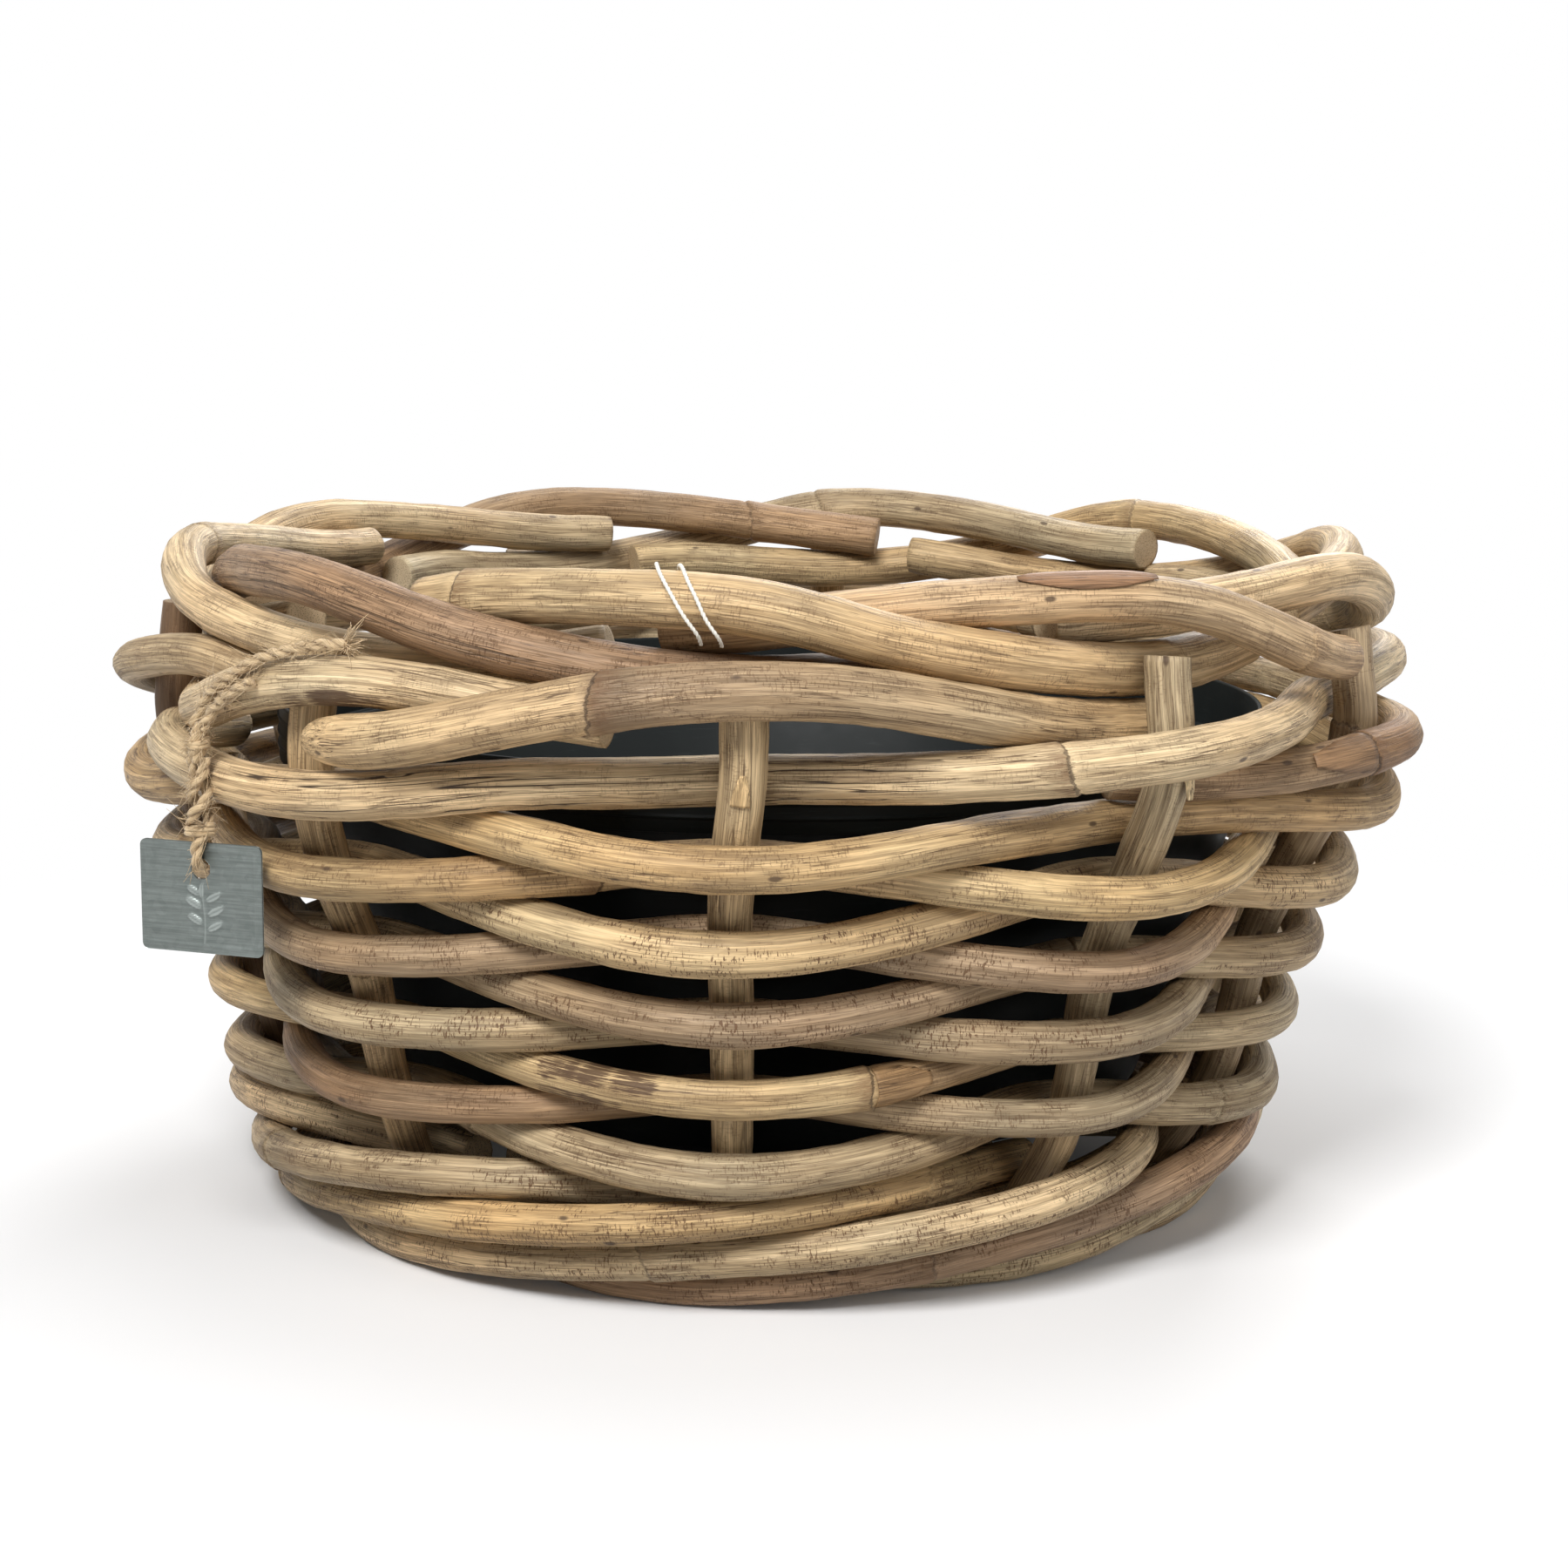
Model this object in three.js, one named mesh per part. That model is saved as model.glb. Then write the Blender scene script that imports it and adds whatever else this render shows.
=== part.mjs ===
// Round woven rattan planter: ten upright stakes, woven side canes, a twisted border and foot,
// a base of crossed sticks, a lift-out plastic liner, a metal tag on twine and a thread tie.
// Millimetres, +Z up, the front faces -Y. Angles are degrees from the front towards +X.
import * as THREE from 'three';

// Clearances
const touchGap = 0.35;
const buttGap = 0.4;

// Wall: radius of the stakes' centre line at the foot, and how much wider it is at heights above the floor
const wallFootRadius = 166;
const wallHeights = [14, 63, 87, 113, 137, 169, 189, 225];
const wallFlare = [0, 25, 31, 37, 47.5, 60.5, 65.5, 61.5];
const wallRadii = wallFlare.map((wider) => wallFootRadius + wider);

// The wall leans a little to one side towards its foot: how far aside it stands at heights above the floor
const shiftHeights = [14, 63, 134, 194];
const sideShifts = [-10, -5, -5, 0];

// Stakes
const stakeAngles = [-2.5, 34, 64, 101, 138, 174, 211, 246, 281, 318];
const stakeBottomDiameter = 13.6;
const stakeTopDiameter = 15.8;
const stakeBottom = 22;
const stakeTop = 227;

// Side rows that close on themselves, from the foot up
const rowHeights = [57, 71, 85, 99, 113, 127, 141, 155, 168.5];
const rowDiameters = [15.4, 13.4, 13.4, 15, 14.8, 14.2, 15.2, 14.6, 15.4];

// Long side canes that climb: at a count of stakes from the front, the side of the wall that they lie on,
// from -1 inside to 1 outside, and their height
const climbingDiameter = 16.8;
const climbingCounts = [-2.05, -1, 0, 1, 2, 3, 4, 5, 6, 7, 7.5, 8, 8.5, 9, 9.5, 9.72];
const climbingSides = [-1, 1, -1, 1, -1, 1, -1, 1, -1, 1, 0, -1, 0, 1, 0, -0.6];
const climbingHeights = [182, 178, 185, 199, 197, 201, 197, 199, 197, 203, 202, 193, 194, 212, 221, 217];
const returningDiameter = 15.2;
const returningCounts = [0.93, 2, 3, 4, 5, 6, 7, 7.5, 8, 8.35, 8.7];
const returningSides = [-1, 1, -1, 1, -1, 1, -1, 0, 1, 0.6, -0.3];
const returningHeights = [180, 192, 186, 183, 182, 182, 184, 185, 204, 209, 208];
const crossingDiameter = 18.4;
const crossingCounts = [-0.92, -0.5, 0, 0.5, 1, 1.12];
const crossingSides = [0.15, 0.8, 1, 0.3, -1, -1];
const crossingHeights = [202, 217, 231, 221, 202, 200];

// Border: a rope of three canes over the stakes' tops, whose low strand passes inside each stake
const borderInset = 10;
const borderRise = 2;
const borderTwistRadius = 11.4;
const borderDuck = 7;
const borderDiameters = [16, 17.2, 16.4, 17, 17.3, 17.4, 16.6, 16.2, 17.6, 18.2];
// Stake count at which each cane starts and ends, after the stake where it lies outside and high
const borderStart = [-1.2, -1.25, -1.15, -1.25, -1.25, -1.2, -1.25, -1.25, -1.2, -0.8];
const borderEnd = [0.8, 1.68, 1.68, 1.68, 1.68, 1.68, 1.68, 1.68, 1.68, 1.6];

// How far a cane's end is held out of the rope, so that its cut end shows outside
const borderEndOut = [17, 0, 0, 0, 0, 0, 0, 0, 0, 0];
const borderEndSpan = 0.75;

// Each border cane turns round the rope from a start angle, by the same angle for each stake
const borderStartTurn = 60;
const borderTurnPerStake = 120;

// Foot: each cane starts under a stake, runs outside three stakes as it climbs and ends inside the next.
// Where it stands, its centre line is this share of its radius above the floor and its underside is flat.
const footDiameters = [14, 15.2, 14.4, 14.8, 14.2, 15, 14.6, 14.2, 14.8, 14.4];
const footCounts = [0.02, 0.5, 1, 2, 3, 3.5, 4, 4.12];
const footSides = [-0.2, 0.3, 1, 1.2, 1.7, 0.6, -1, -1];
const footHeights = [14, 8, 6.6, 22, 37.5, 41, 36, 36];
const standHeight = 0.9;
const standReach = 0.6;

// Base: a hoop inside the stakes and two layers of crossed sticks
const hoopDiameter = 11;
const hoopHeight = 23.5;
const hoopSpring = 0.7;
const stickDiameter = 10;
const lowerSticks = [-105, -36, 36, 105];
const upperSticks = [-84, 0, 84];
const upperStickInset = 5;

// Liner: its gaps are measured from the canes inside the wall
const linerWall = 2;
const linerFloorGap = 8.4;
const linerRimGap = 14.8;
const linerRimHeight = 188;
const linerBandHeight = 22;
const linerBandStep = 3;
const linerFootInset = 6;
const linerFootHeight = 5;
const linerShift = -2;
const linerClearance = 1.2;

// Twine: a long and a short stretch lie on the top side cane and meet in a knot, and a loop hangs from it
const twineDiameter = 4.2;
const knotDiameter = 8.8;
const knotPlace = [-47.8, 259.5, 192.5];
const twineLongRoute = [
  [-34.6, 243, 228.8], [-37, 247.6, 228.2], [-39.5, 252, 225.6], [-42, 254.9, 221.6], [-44, 256.3, 216.9],
  [-46, 256.6, 212.2], [-47.6, 256.6, 207.1], [-48.3, 257.4, 202.4], [-48.4, 259.3, 197.6],
];
const twineShortRoute = [
  [-41.4, 257.5, 215.4], [-43, 257.9, 212.6], [-44.5, 257.9, 209], [-46, 257.6, 205.2],
  [-46.7, 258.2, 201.4], [-47.2, 259.7, 197.2],
];

// Tag: a thin plate whose hole the hanging loop passes through
const tagWidth = 46;
const tagHeight = 38;
const tagThickness = 1;
const tagCornerRadius = 2.5;
const tagHoleDiameter = 7;
const tagHoleDrop = 9;
const tagTopHeight = 158.8;
const tagYaw = -18.6;
const loopTopSpread = 2.4;
const loopSideClearance = 0.5;
const loopTwist = 450;
const loopTwistShare = 0.95;

// Thread: a tie over the front border cane
const threadDiameter = 1.4;
const threadRoute = [
  [-4.2, 232.4, 233], [-4.4, 235.8, 236], [-5.2, 237, 241], [-6, 235.8, 247.5], [-6.8, 232.5, 252.8],
  [-7.5, 226.1, 256.5], [-8.2, 217.3, 255.7], [-8.8, 212.1, 250.6], [-9.5, 211.4, 250.6], [-10.1, 216, 255.8],
  [-9.6, 225, 256.7], [-8.8, 231.5, 253.3], [-7.8, 235.3, 247.7], [-6.8, 236.6, 241.6], [-6, 235.4, 236.7],
  [-5.8, 232.4, 233.4],
];

// Worked out from the sizes above
const hoopRadius = ease(wallHeights, wallRadii, hoopHeight) - (stakeBottomDiameter + hoopDiameter) / 2
  - touchGap + hoopSpring;
const stickReach = hoopRadius - hoopDiameter / 2 - touchGap;

// Faceting
const rowSides = 8;
const slimSides = 8;
const sectionsPerStake = 4;
const shortestStep = 0.075;
const borderSectionsPerStake = 4.5;
const stakeSections = 12;
const footSections = 18;
const hoopSections = 40;
const linerSides = 48;

// Settling: how strongly canes are drawn to their routes, drawn taut and kept from kinking, and for how long
const routePull = 0.02;
const tautPull = 0.015;
const bendPull = 0.3;
const easeRounds = 160;
const pullRounds = 110;
const clearRounds = 300;
const closeEnough = 0.02;
const pairReach = 12;
const leanSpan = 8;

const radians = THREE.MathUtils.degToRad;
const stakeCount = stakeAngles.length;

// Straight interpolation in a list of knots
function lookUp(xs, ys, x) {
  if (x <= xs[0]) return ys[0];
  for (let i = 1; i < xs.length; i += 1) {
    if (x <= xs[i]) {
      const t = (x - xs[i - 1]) / (xs[i] - xs[i - 1]);
      return ys[i - 1] + (ys[i] - ys[i - 1]) * t;
    }
  }
  return ys[ys.length - 1];
}

// Smooth interpolation through knots, without overshoot
function ease(xs, ys, x) {
  const n = xs.length;
  if (x <= xs[0]) return ys[0];
  if (x >= xs[n - 1]) return ys[n - 1];
  let i = 1;
  while (x > xs[i]) i += 1;
  const slope = (k) => (ys[k] - ys[k - 1]) / (xs[k] - xs[k - 1]);
  const tangent = (k) => {
    if (k === 0) return slope(1);
    if (k === n - 1) return slope(n - 1);
    const a = slope(k);
    const b = slope(k + 1);
    return a * b <= 0 ? 0 : (2 * a * b) / (a + b);
  };
  const h = xs[i] - xs[i - 1];
  const t = (x - xs[i - 1]) / h;
  const t2 = t * t;
  const t3 = t2 * t;
  return (2 * t3 - 3 * t2 + 1) * ys[i - 1] + (t3 - 2 * t2 + t) * h * tangent(i - 1)
    + (3 * t2 - 2 * t3) * ys[i] + (t3 - t2) * h * tangent(i);
}

const wallRadius = (z) => ease(wallHeights, wallRadii, z);
const borderRadius = wallRadius(stakeTop) - borderInset;
const borderHeight = stakeTop + borderRise;
const stakeRadius = (z) => 0.5 * lookUp([stakeBottom, stakeTop], [stakeBottomDiameter, stakeTopDiameter], z);

// Angle at a stake count, which may lie between two stakes or past a full turn
function angleAt(count) {
  const whole = Math.floor(count);
  const turn = Math.floor(whole / stakeCount);
  const index = whole - turn * stakeCount;
  const here = stakeAngles[index] + 360 * turn;
  const next = index + 1 < stakeCount ? stakeAngles[index + 1] + 360 * turn : stakeAngles[0] + 360 * (turn + 1);
  return here + (next - here) * (count - whole);
}

// A section of a cane: its angle is fixed, its radius and height can be eased
function section(angle, radius, height, thickness) {
  const a = radians(angle);
  return { angle, sin: Math.sin(a), cos: Math.cos(a), radius, height, thickness, wantRadius: radius, wantHeight: height };
}

function shiftAt(height) {
  return ease(shiftHeights, sideShifts, height);
}

function placeOf(s) {
  return [s.radius * s.sin + shiftAt(s.height), -s.radius * s.cos, s.height];
}

const canes = [];

function addCane(name, sections, options) {
  canes.push({ name, sections, ...options });
}

// Side of the wall, -1 inside to +1 outside, as a place square to the leaning wall
function wallSection(count, side, height, diameter) {
  const rise = wallRadius(height + leanSpan / 2) - wallRadius(height - leanSpan / 2);
  const lean = Math.atan(rise / leanSpan);
  const reach = side * (stakeRadius(height) + diameter / 2 + touchGap);
  const radius = wallRadius(height) + reach * Math.cos(lean);
  return section(angleAt(count), radius, height - reach * Math.sin(lean), diameter / 2);
}

function addStakes() {
  for (let i = 0; i < stakeCount; i += 1) {
    const sections = [];
    for (let k = 0; k <= stakeSections; k += 1) {
      const z = stakeBottom + ((stakeTop - stakeBottom) * k) / stakeSections;
      sections.push(section(stakeAngles[i], wallRadius(z), z, stakeRadius(z)));
    }
    addCane(`stake_${String(i + 1).padStart(2, '0')}`, sections, { weight: 0, colour: 0xa98f68 });
  }
}

function addRows() {
  rowHeights.forEach((height, r) => {
    const outsideEven = r % 2 === 0;
    const seam = outsideEven ? 2 * r + 3 : 2 * r + 4;
    const diameter = rowDiameters[r];
    const buttCount = (buttGap / wallRadius(height)) * stakeCount / (2 * Math.PI);
    const sections = [];
    for (let k = 0; k <= stakeCount * sectionsPerStake; k += 1) {
      let count = seam + k / sectionsPerStake;
      if (k === 0) count += buttCount;
      if (k === stakeCount * sectionsPerStake) count -= buttCount;
      const wave = Math.cos(Math.PI * count) * (outsideEven ? 1 : -1);
      sections.push(wallSection(count, wave, height, diameter));
    }
    addCane(`weaver_${String(r + 1).padStart(2, '0')}`, sections, { weight: 1, colour: 0xb49a70, closed: true });
  });
}

function addRouted(name, diameter, counts, sides, heights, colour) {
  const first = counts[0];
  const last = counts[counts.length - 1];
  const steps = [first];
  const next = Math.ceil(first * sectionsPerStake + 4 * shortestStep) / sectionsPerStake;
  for (let c = next; c < last - shortestStep; c += 1 / sectionsPerStake) steps.push(c);
  steps.push(last);
  const sections = steps.map((c) => {
    const reach = ease(counts, sides, c) * (stakeTopDiameter + diameter) / 2;
    const z = ease(counts, heights, c);
    return section(angleAt(c), wallRadius(z) + reach, z, diameter / 2);
  });
  addCane(name, sections, { weight: 1, colour });
}

function addBorder() {
  for (let k = 0; k < stakeCount; k += 1) {
    const outside = k + 1;
    const from = outside + borderStart[k];
    const to = outside + borderEnd[k];
    const steps = Math.round((to - from) * borderSectionsPerStake);
    const sections = [];
    for (let i = 0; i <= steps; i += 1) {
      const count = from + ((to - from) * i) / steps;
      const turn = radians(borderStartTurn + borderTurnPerStake * (count - outside));
      const low = Math.max(0, -Math.cos(turn));
      const end = THREE.MathUtils.smoothstep(count, to - borderEndSpan, to);
      const radius = borderRadius + borderTwistRadius * Math.sin(turn) - borderDuck * low * low
        + borderEndOut[k] * end;
      const height = borderHeight + borderTwistRadius * Math.cos(turn);
      sections.push(section(angleAt(count), radius, height, borderDiameters[k] / 2));
    }
    addCane(`border_cane_${String(k + 1).padStart(2, '0')}`, sections, { weight: 0.6, colour: 0xa8875f });
  }
}

function addFoot() {
  const first = footCounts[0];
  const last = footCounts[footCounts.length - 1];
  for (let k = 0; k < stakeCount; k += 1) {
    const r = footDiameters[k] / 2;
    const reach = stakeBottomDiameter / 2 + r + touchGap;
    const sections = [];
    for (let i = 0; i <= footSections; i += 1) {
      const count = first + ((last - first) * i) / footSections;
      const z = Math.max(ease(footCounts, footHeights, count), r * standHeight);
      const radius = wallRadius(z) + ease(footCounts, footSides, count) * reach;
      sections.push(section(angleAt(k + count), radius, z, r));
    }
    addCane(`foot_cane_${String(k + 1).padStart(2, '0')}`, sections, { weight: 1, colour: 0xb59c73, stands: true });
  }
}

function addHoop() {
  const radius = hoopRadius;
  const sections = [];
  const butt = THREE.MathUtils.radToDeg(buttGap / radius) / 2;
  for (let i = 0; i <= hoopSections; i += 1) {
    let angle = stakeAngles[5] + (360 * i) / hoopSections;
    if (i === 0) angle += butt;
    if (i === hoopSections) angle -= butt;
    sections.push(section(angle, radius, hoopHeight, hoopDiameter / 2));
  }
  addCane('base_hoop', sections, { weight: 0, colour: 0x9c845e });
}

// Least distance between two straight pieces, with the shares along each
function closest(p1, q1, p2, q2) {
  const d1 = [q1[0] - p1[0], q1[1] - p1[1], q1[2] - p1[2]];
  const d2 = [q2[0] - p2[0], q2[1] - p2[1], q2[2] - p2[2]];
  const r = [p1[0] - p2[0], p1[1] - p2[1], p1[2] - p2[2]];
  const dot = (u, v) => u[0] * v[0] + u[1] * v[1] + u[2] * v[2];
  const clamp = (x) => Math.min(1, Math.max(0, x));
  const a = dot(d1, d1);
  const e = dot(d2, d2);
  const f = dot(d2, r);
  const c = dot(d1, r);
  const b = dot(d1, d2);
  const denom = a * e - b * b;
  let s = denom > 1e-9 ? clamp((b * f - c * e) / denom) : 0.5;
  let t = (b * s + f) / e;
  if (t < 0 || t > 1) {
    t = clamp(t);
    s = clamp((b * t - c) / a);
  }
  const n = [r[0] + d1[0] * s - d2[0] * t, r[1] + d1[1] * s - d2[1] * t, r[2] + d1[2] * s - d2[2] * t];
  return { s, t, n, distance: Math.sqrt(dot(n, n)) };
}

// Pairs of straight pieces close enough to meet
function nearPairs(reach) {
  const pieces = [];
  canes.forEach((cane, c) => {
    for (let i = 0; i + 1 < cane.sections.length; i += 1) {
      const p = placeOf(cane.sections[i]);
      const q = placeOf(cane.sections[i + 1]);
      const low = p.map((v, k) => Math.min(v, q[k]) - cane.sections[i].thickness - reach / 2);
      const high = p.map((v, k) => Math.max(v, q[k]) + cane.sections[i].thickness + reach / 2);
      pieces.push({ c, i, low, high });
    }
  });
  const pairs = [];
  for (let a = 0; a < pieces.length; a += 1) {
    for (let b = a + 1; b < pieces.length; b += 1) {
      const u = pieces[a];
      const v = pieces[b];
      if (canes[u.c].weight + canes[v.c].weight === 0) continue;
      if (u.c === v.c && Math.abs(u.i - v.i) < 6) continue;
      if (u.c === v.c && canes[u.c].closed) continue;
      if (u.low[0] > v.high[0] || v.low[0] > u.high[0]) continue;
      if (u.low[1] > v.high[1] || v.low[1] > u.high[1]) continue;
      if (u.low[2] > v.high[2] || v.low[2] > u.high[2]) continue;
      pairs.push([u, v]);
    }
  }
  return pairs;
}

function push(s, n, amount) {
  s.radius += amount * (n[0] * s.sin - n[1] * s.cos);
  s.height += amount * n[2];
}

// Move canes apart where they are closer than their radii; returns the worst shortfall
function separate(pairs, strength) {
  let worst = 0;
  for (const [u, v] of pairs) {
    const cu = canes[u.c];
    const cv = canes[v.c];
    const a0 = cu.sections[u.i];
    const a1 = cu.sections[u.i + 1];
    const b0 = cv.sections[v.i];
    const b1 = cv.sections[v.i + 1];
    const near = closest(placeOf(a0), placeOf(a1), placeOf(b0), placeOf(b1));
    const ra = a0.thickness + (a1.thickness - a0.thickness) * near.s;
    const rb = b0.thickness + (b1.thickness - b0.thickness) * near.t;
    const short = ra + rb + touchGap - near.distance;
    if (short <= 0) continue;
    worst = Math.max(worst, short);
    const n = near.distance > 1e-6 ? near.n.map((x) => x / near.distance) : [0, 0, 1];
    const total = cu.weight + cv.weight;
    const move = (short + closeEnough) * strength;
    const ma = (move * cu.weight) / total;
    const mb = (move * cv.weight) / total;
    const sa = (1 - near.s) ** 2 + near.s ** 2;
    const sb = (1 - near.t) ** 2 + near.t ** 2;
    push(a0, n, (ma * (1 - near.s)) / sa);
    push(a1, n, (ma * near.s) / sa);
    push(b0, n, (-mb * (1 - near.t)) / sb);
    push(b1, n, (-mb * near.t) / sb);
  }
  return worst;
}

// How far a value stands out of a smooth bend through its four neighbours
function kink(values, i) {
  return (4 * (values[i - 1] + values[i + 1]) - values[i - 2] - values[i + 2] - 6 * values[i]) / 6;
}

// Draw each cane taut, straighten its bends and draw it back towards its route
function tighten(pull, stretch, bend) {
  for (const cane of canes) {
    if (cane.weight === 0) continue;
    const s = cane.sections;
    const radii = s.map((k) => k.radius);
    const heights = s.map((k) => k.height);
    for (let i = 0; i < s.length; i += 1) {
      if (i > 0 && i + 1 < s.length) {
        s[i].radius += stretch * (0.5 * (radii[i - 1] + radii[i + 1]) - radii[i]);
        s[i].height += stretch * (0.5 * (heights[i - 1] + heights[i + 1]) - heights[i]);
      }
      if (i > 1 && i + 2 < s.length) {
        s[i].radius += bend * kink(radii, i);
        s[i].height += bend * kink(heights, i);
      }
      s[i].radius += pull * (s[i].wantRadius - s[i].radius);
      s[i].height += pull * (s[i].wantHeight - s[i].height);
    }
  }
}

function keepClear() {
  for (const cane of canes) {
    if (cane.weight === 0) continue;
    for (const s of cane.sections) {
      s.height = Math.max(s.height, s.thickness * standHeight);
      const aside = (shiftAt(s.height) - linerShift) * s.sin;
      s.radius = Math.max(s.radius, linerOuter(s.height) + s.thickness + linerClearance - aside);
    }
  }
}

function settle() {
  let pairs = [];
  for (let round = 0; round < easeRounds; round += 1) {
    if (round % 16 === 0) pairs = nearPairs(pairReach);
    const fade = Math.max(0, 1 - round / pullRounds);
    tighten(routePull * fade, tautPull * fade, bendPull * fade);
    keepClear();
    separate(pairs, 0.8);
  }
  pairs = nearPairs(pairReach / 3);
  let worst = 1;
  let rounds = 0;
  while (worst > closeEnough && rounds < clearRounds) {
    keepClear();
    worst = separate(pairs, 1);
    rounds += 1;
  }
  return { worst, rounds };
}

// Seat the lowest sections of the foot on the floor
function pressDown() {
  for (const cane of canes.filter((c) => c.stands)) {
    for (const s of cane.sections) {
      if (s.height < s.thickness + standReach) s.height = s.thickness * standHeight;
    }
  }
}

// Inner face of the canes that pass inside the wall
function innerFace(z) {
  return wallRadius(z) - stakeRadius(z) - climbingDiameter - touchGap;
}

function linerOuter(z) {
  if (z > linerRimHeight || z < linerBottom) return 0;
  if (z > linerRimHeight - linerBandHeight) return linerRimRadius;
  return lookUp([linerBottom, linerRimHeight - linerBandHeight], [linerFloorRadius, linerRimRadius - linerBandStep], z);
}

const upperStickHeight = hoopHeight + stickDiameter + touchGap;
const linerBottom = upperStickHeight + stickDiameter / 2 + touchGap;
const linerRimRadius = innerFace(linerRimHeight) - linerRimGap;
const linerFloorRadius = innerFace(linerBottom) - linerFloorGap;

// Closed tube through places, each with its own radius. A level tube keeps its sections upright and
// is cut flat where it meets the floor.
function tube(places, radii, sides, level) {
  const points = places.map((p) => new THREE.Vector3(...p));
  const vertices = [];
  const faces = [];
  let side = null;
  const count = points.length;
  for (let i = 0; i < count; i += 1) {
    const back = points[Math.max(0, i - 1)];
    const ahead = points[Math.min(count - 1, i + 1)];
    const tangent = new THREE.Vector3();
    if (i > 0) tangent.add(points[i].clone().sub(back).normalize());
    if (i < count - 1) tangent.add(ahead.clone().sub(points[i]).normalize());
    tangent.normalize();
    if (side === null || level) {
      const other = Math.abs(tangent.z) > 0.8 ? new THREE.Vector3(1, 0, 0) : new THREE.Vector3(0, 0, 1);
      side = new THREE.Vector3().crossVectors(tangent, other).normalize();
    }
    side.addScaledVector(tangent, -side.dot(tangent)).normalize();
    const up = new THREE.Vector3().crossVectors(side, tangent);
    for (let k = 0; k < sides; k += 1) {
      const a = (2 * Math.PI * (k + 0.5)) / sides;
      const v = points[i].clone();
      v.addScaledVector(side, Math.cos(a) * radii[i]);
      v.addScaledVector(up, Math.sin(a) * radii[i]);
      if (level) v.z = Math.max(v.z, 0);
      vertices.push(v.x, v.y, v.z);
    }
  }
  for (let i = 0; i + 1 < count; i += 1) {
    for (let k = 0; k < sides; k += 1) {
      const a = i * sides + k;
      const b = i * sides + ((k + 1) % sides);
      faces.push(a, a + sides, b, b, a + sides, b + sides);
    }
  }
  const last = (count - 1) * sides;
  for (let k = 1; k + 1 < sides; k += 1) {
    faces.push(0, k, k + 1);
    faces.push(last, last + k + 1, last + k);
  }
  const geometry = new THREE.BufferGeometry();
  geometry.setAttribute('position', new THREE.Float32BufferAttribute(vertices, 3));
  geometry.setIndex(faces);
  geometry.computeVertexNormals();
  return geometry;
}

const group = new THREE.Group();

function addMesh(name, geometry, colour, roughness, metalness) {
  const material = new THREE.MeshStandardMaterial({ color: colour, roughness, metalness: metalness ?? 0 });
  const mesh = new THREE.Mesh(geometry, material);
  mesh.name = name;
  group.add(mesh);
  return mesh;
}

function addCaneMeshes() {
  for (const cane of canes) {
    const places = cane.sections.map(placeOf);
    const radii = cane.sections.map((s) => s.thickness);
    addMesh(cane.name, tube(places, radii, cane.name === 'base_hoop' ? 6 : rowSides, true), cane.colour, 0.7);
  }
}

function addSticks() {
  const r = stickDiameter / 2;
  const lower = (y) => Math.sqrt(stickReach ** 2 - (Math.abs(y) + r) ** 2);
  lowerSticks.forEach((y, i) => {
    const x = lower(y);
    const geometry = tube([[-x, y, hoopHeight], [x, y, hoopHeight]], [r, r], 6, false);
    addMesh(`base_stick_${i + 1}`, geometry, 0x9c845e, 0.75).position.x = shiftAt(hoopHeight);
  });
  upperSticks.forEach((x, i) => {
    const y = lower(x) - upperStickInset;
    const geometry = tube([[x, -y, upperStickHeight], [x, y, upperStickHeight]], [r, r], 6, false);
    const mesh = addMesh(`base_stick_${lowerSticks.length + i + 1}`, geometry, 0x9c845e, 0.75);
    mesh.position.x = shiftAt(upperStickHeight);
  });
}

function addLiner() {
  const bandFoot = linerRimHeight - linerBandHeight;
  const profile = [
    [0, linerBottom],
    [linerFloorRadius - linerFootInset, linerBottom],
    [linerFloorRadius, linerBottom + linerFootHeight],
    [linerRimRadius - linerBandStep, bandFoot],
    [linerRimRadius, bandFoot],
    [linerRimRadius, linerRimHeight],
    [linerRimRadius - linerWall, linerRimHeight],
    [linerRimRadius - linerWall, bandFoot + linerWall],
    [linerRimRadius - linerBandStep - linerWall, bandFoot + linerWall],
    [linerFloorRadius - linerWall, linerBottom + linerFootHeight + linerWall / 2],
    [linerFloorRadius - linerFootInset, linerBottom + linerWall],
    [0, linerBottom + linerWall],
  ].map(([x, y]) => new THREE.Vector2(x, y));
  const lathe = new THREE.LatheGeometry(profile, linerSides);
  lathe.rotateX(Math.PI / 2);
  addMesh('liner', lathe, 0x1a2223, 0.45).position.x = linerShift;
}

// Place at an angle, a radius and a height
function polar([angle, radius, height]) {
  return new THREE.Vector3(radius * Math.sin(radians(angle)), -radius * Math.cos(radians(angle)), height);
}

// Closed tube along a smooth curve through hand-chosen points
function cord(points, diameter, steps) {
  const curve = new THREE.CatmullRomCurve3(points, false, 'centripetal');
  const places = curve.getSpacedPoints(steps).map((p) => p.toArray());
  return tube(places, places.map(() => diameter / 2), slimSides, false);
}

function addTwine() {
  addMesh('twine_long', cord(twineLongRoute.map(polar), twineDiameter, 18), 0xb9925f, 0.95);
  addMesh('twine_short', cord(twineShortRoute.map(polar), twineDiameter, 8), 0xb9925f, 0.95);
  const knot = new THREE.SphereGeometry(knotDiameter / 2, 12, 8);
  knot.rotateX(Math.PI / 2);
  addMesh('twine_knot', knot, 0xb9925f, 0.95).position.copy(polar(knotPlace));
}

// The tag's own directions: along its width, and out of its face
const tagAlong = new THREE.Vector3(Math.cos(radians(tagYaw)), Math.sin(radians(tagYaw)), 0);
const tagOut = new THREE.Vector3(Math.sin(radians(tagYaw)), -Math.cos(radians(tagYaw)), 0);

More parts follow.
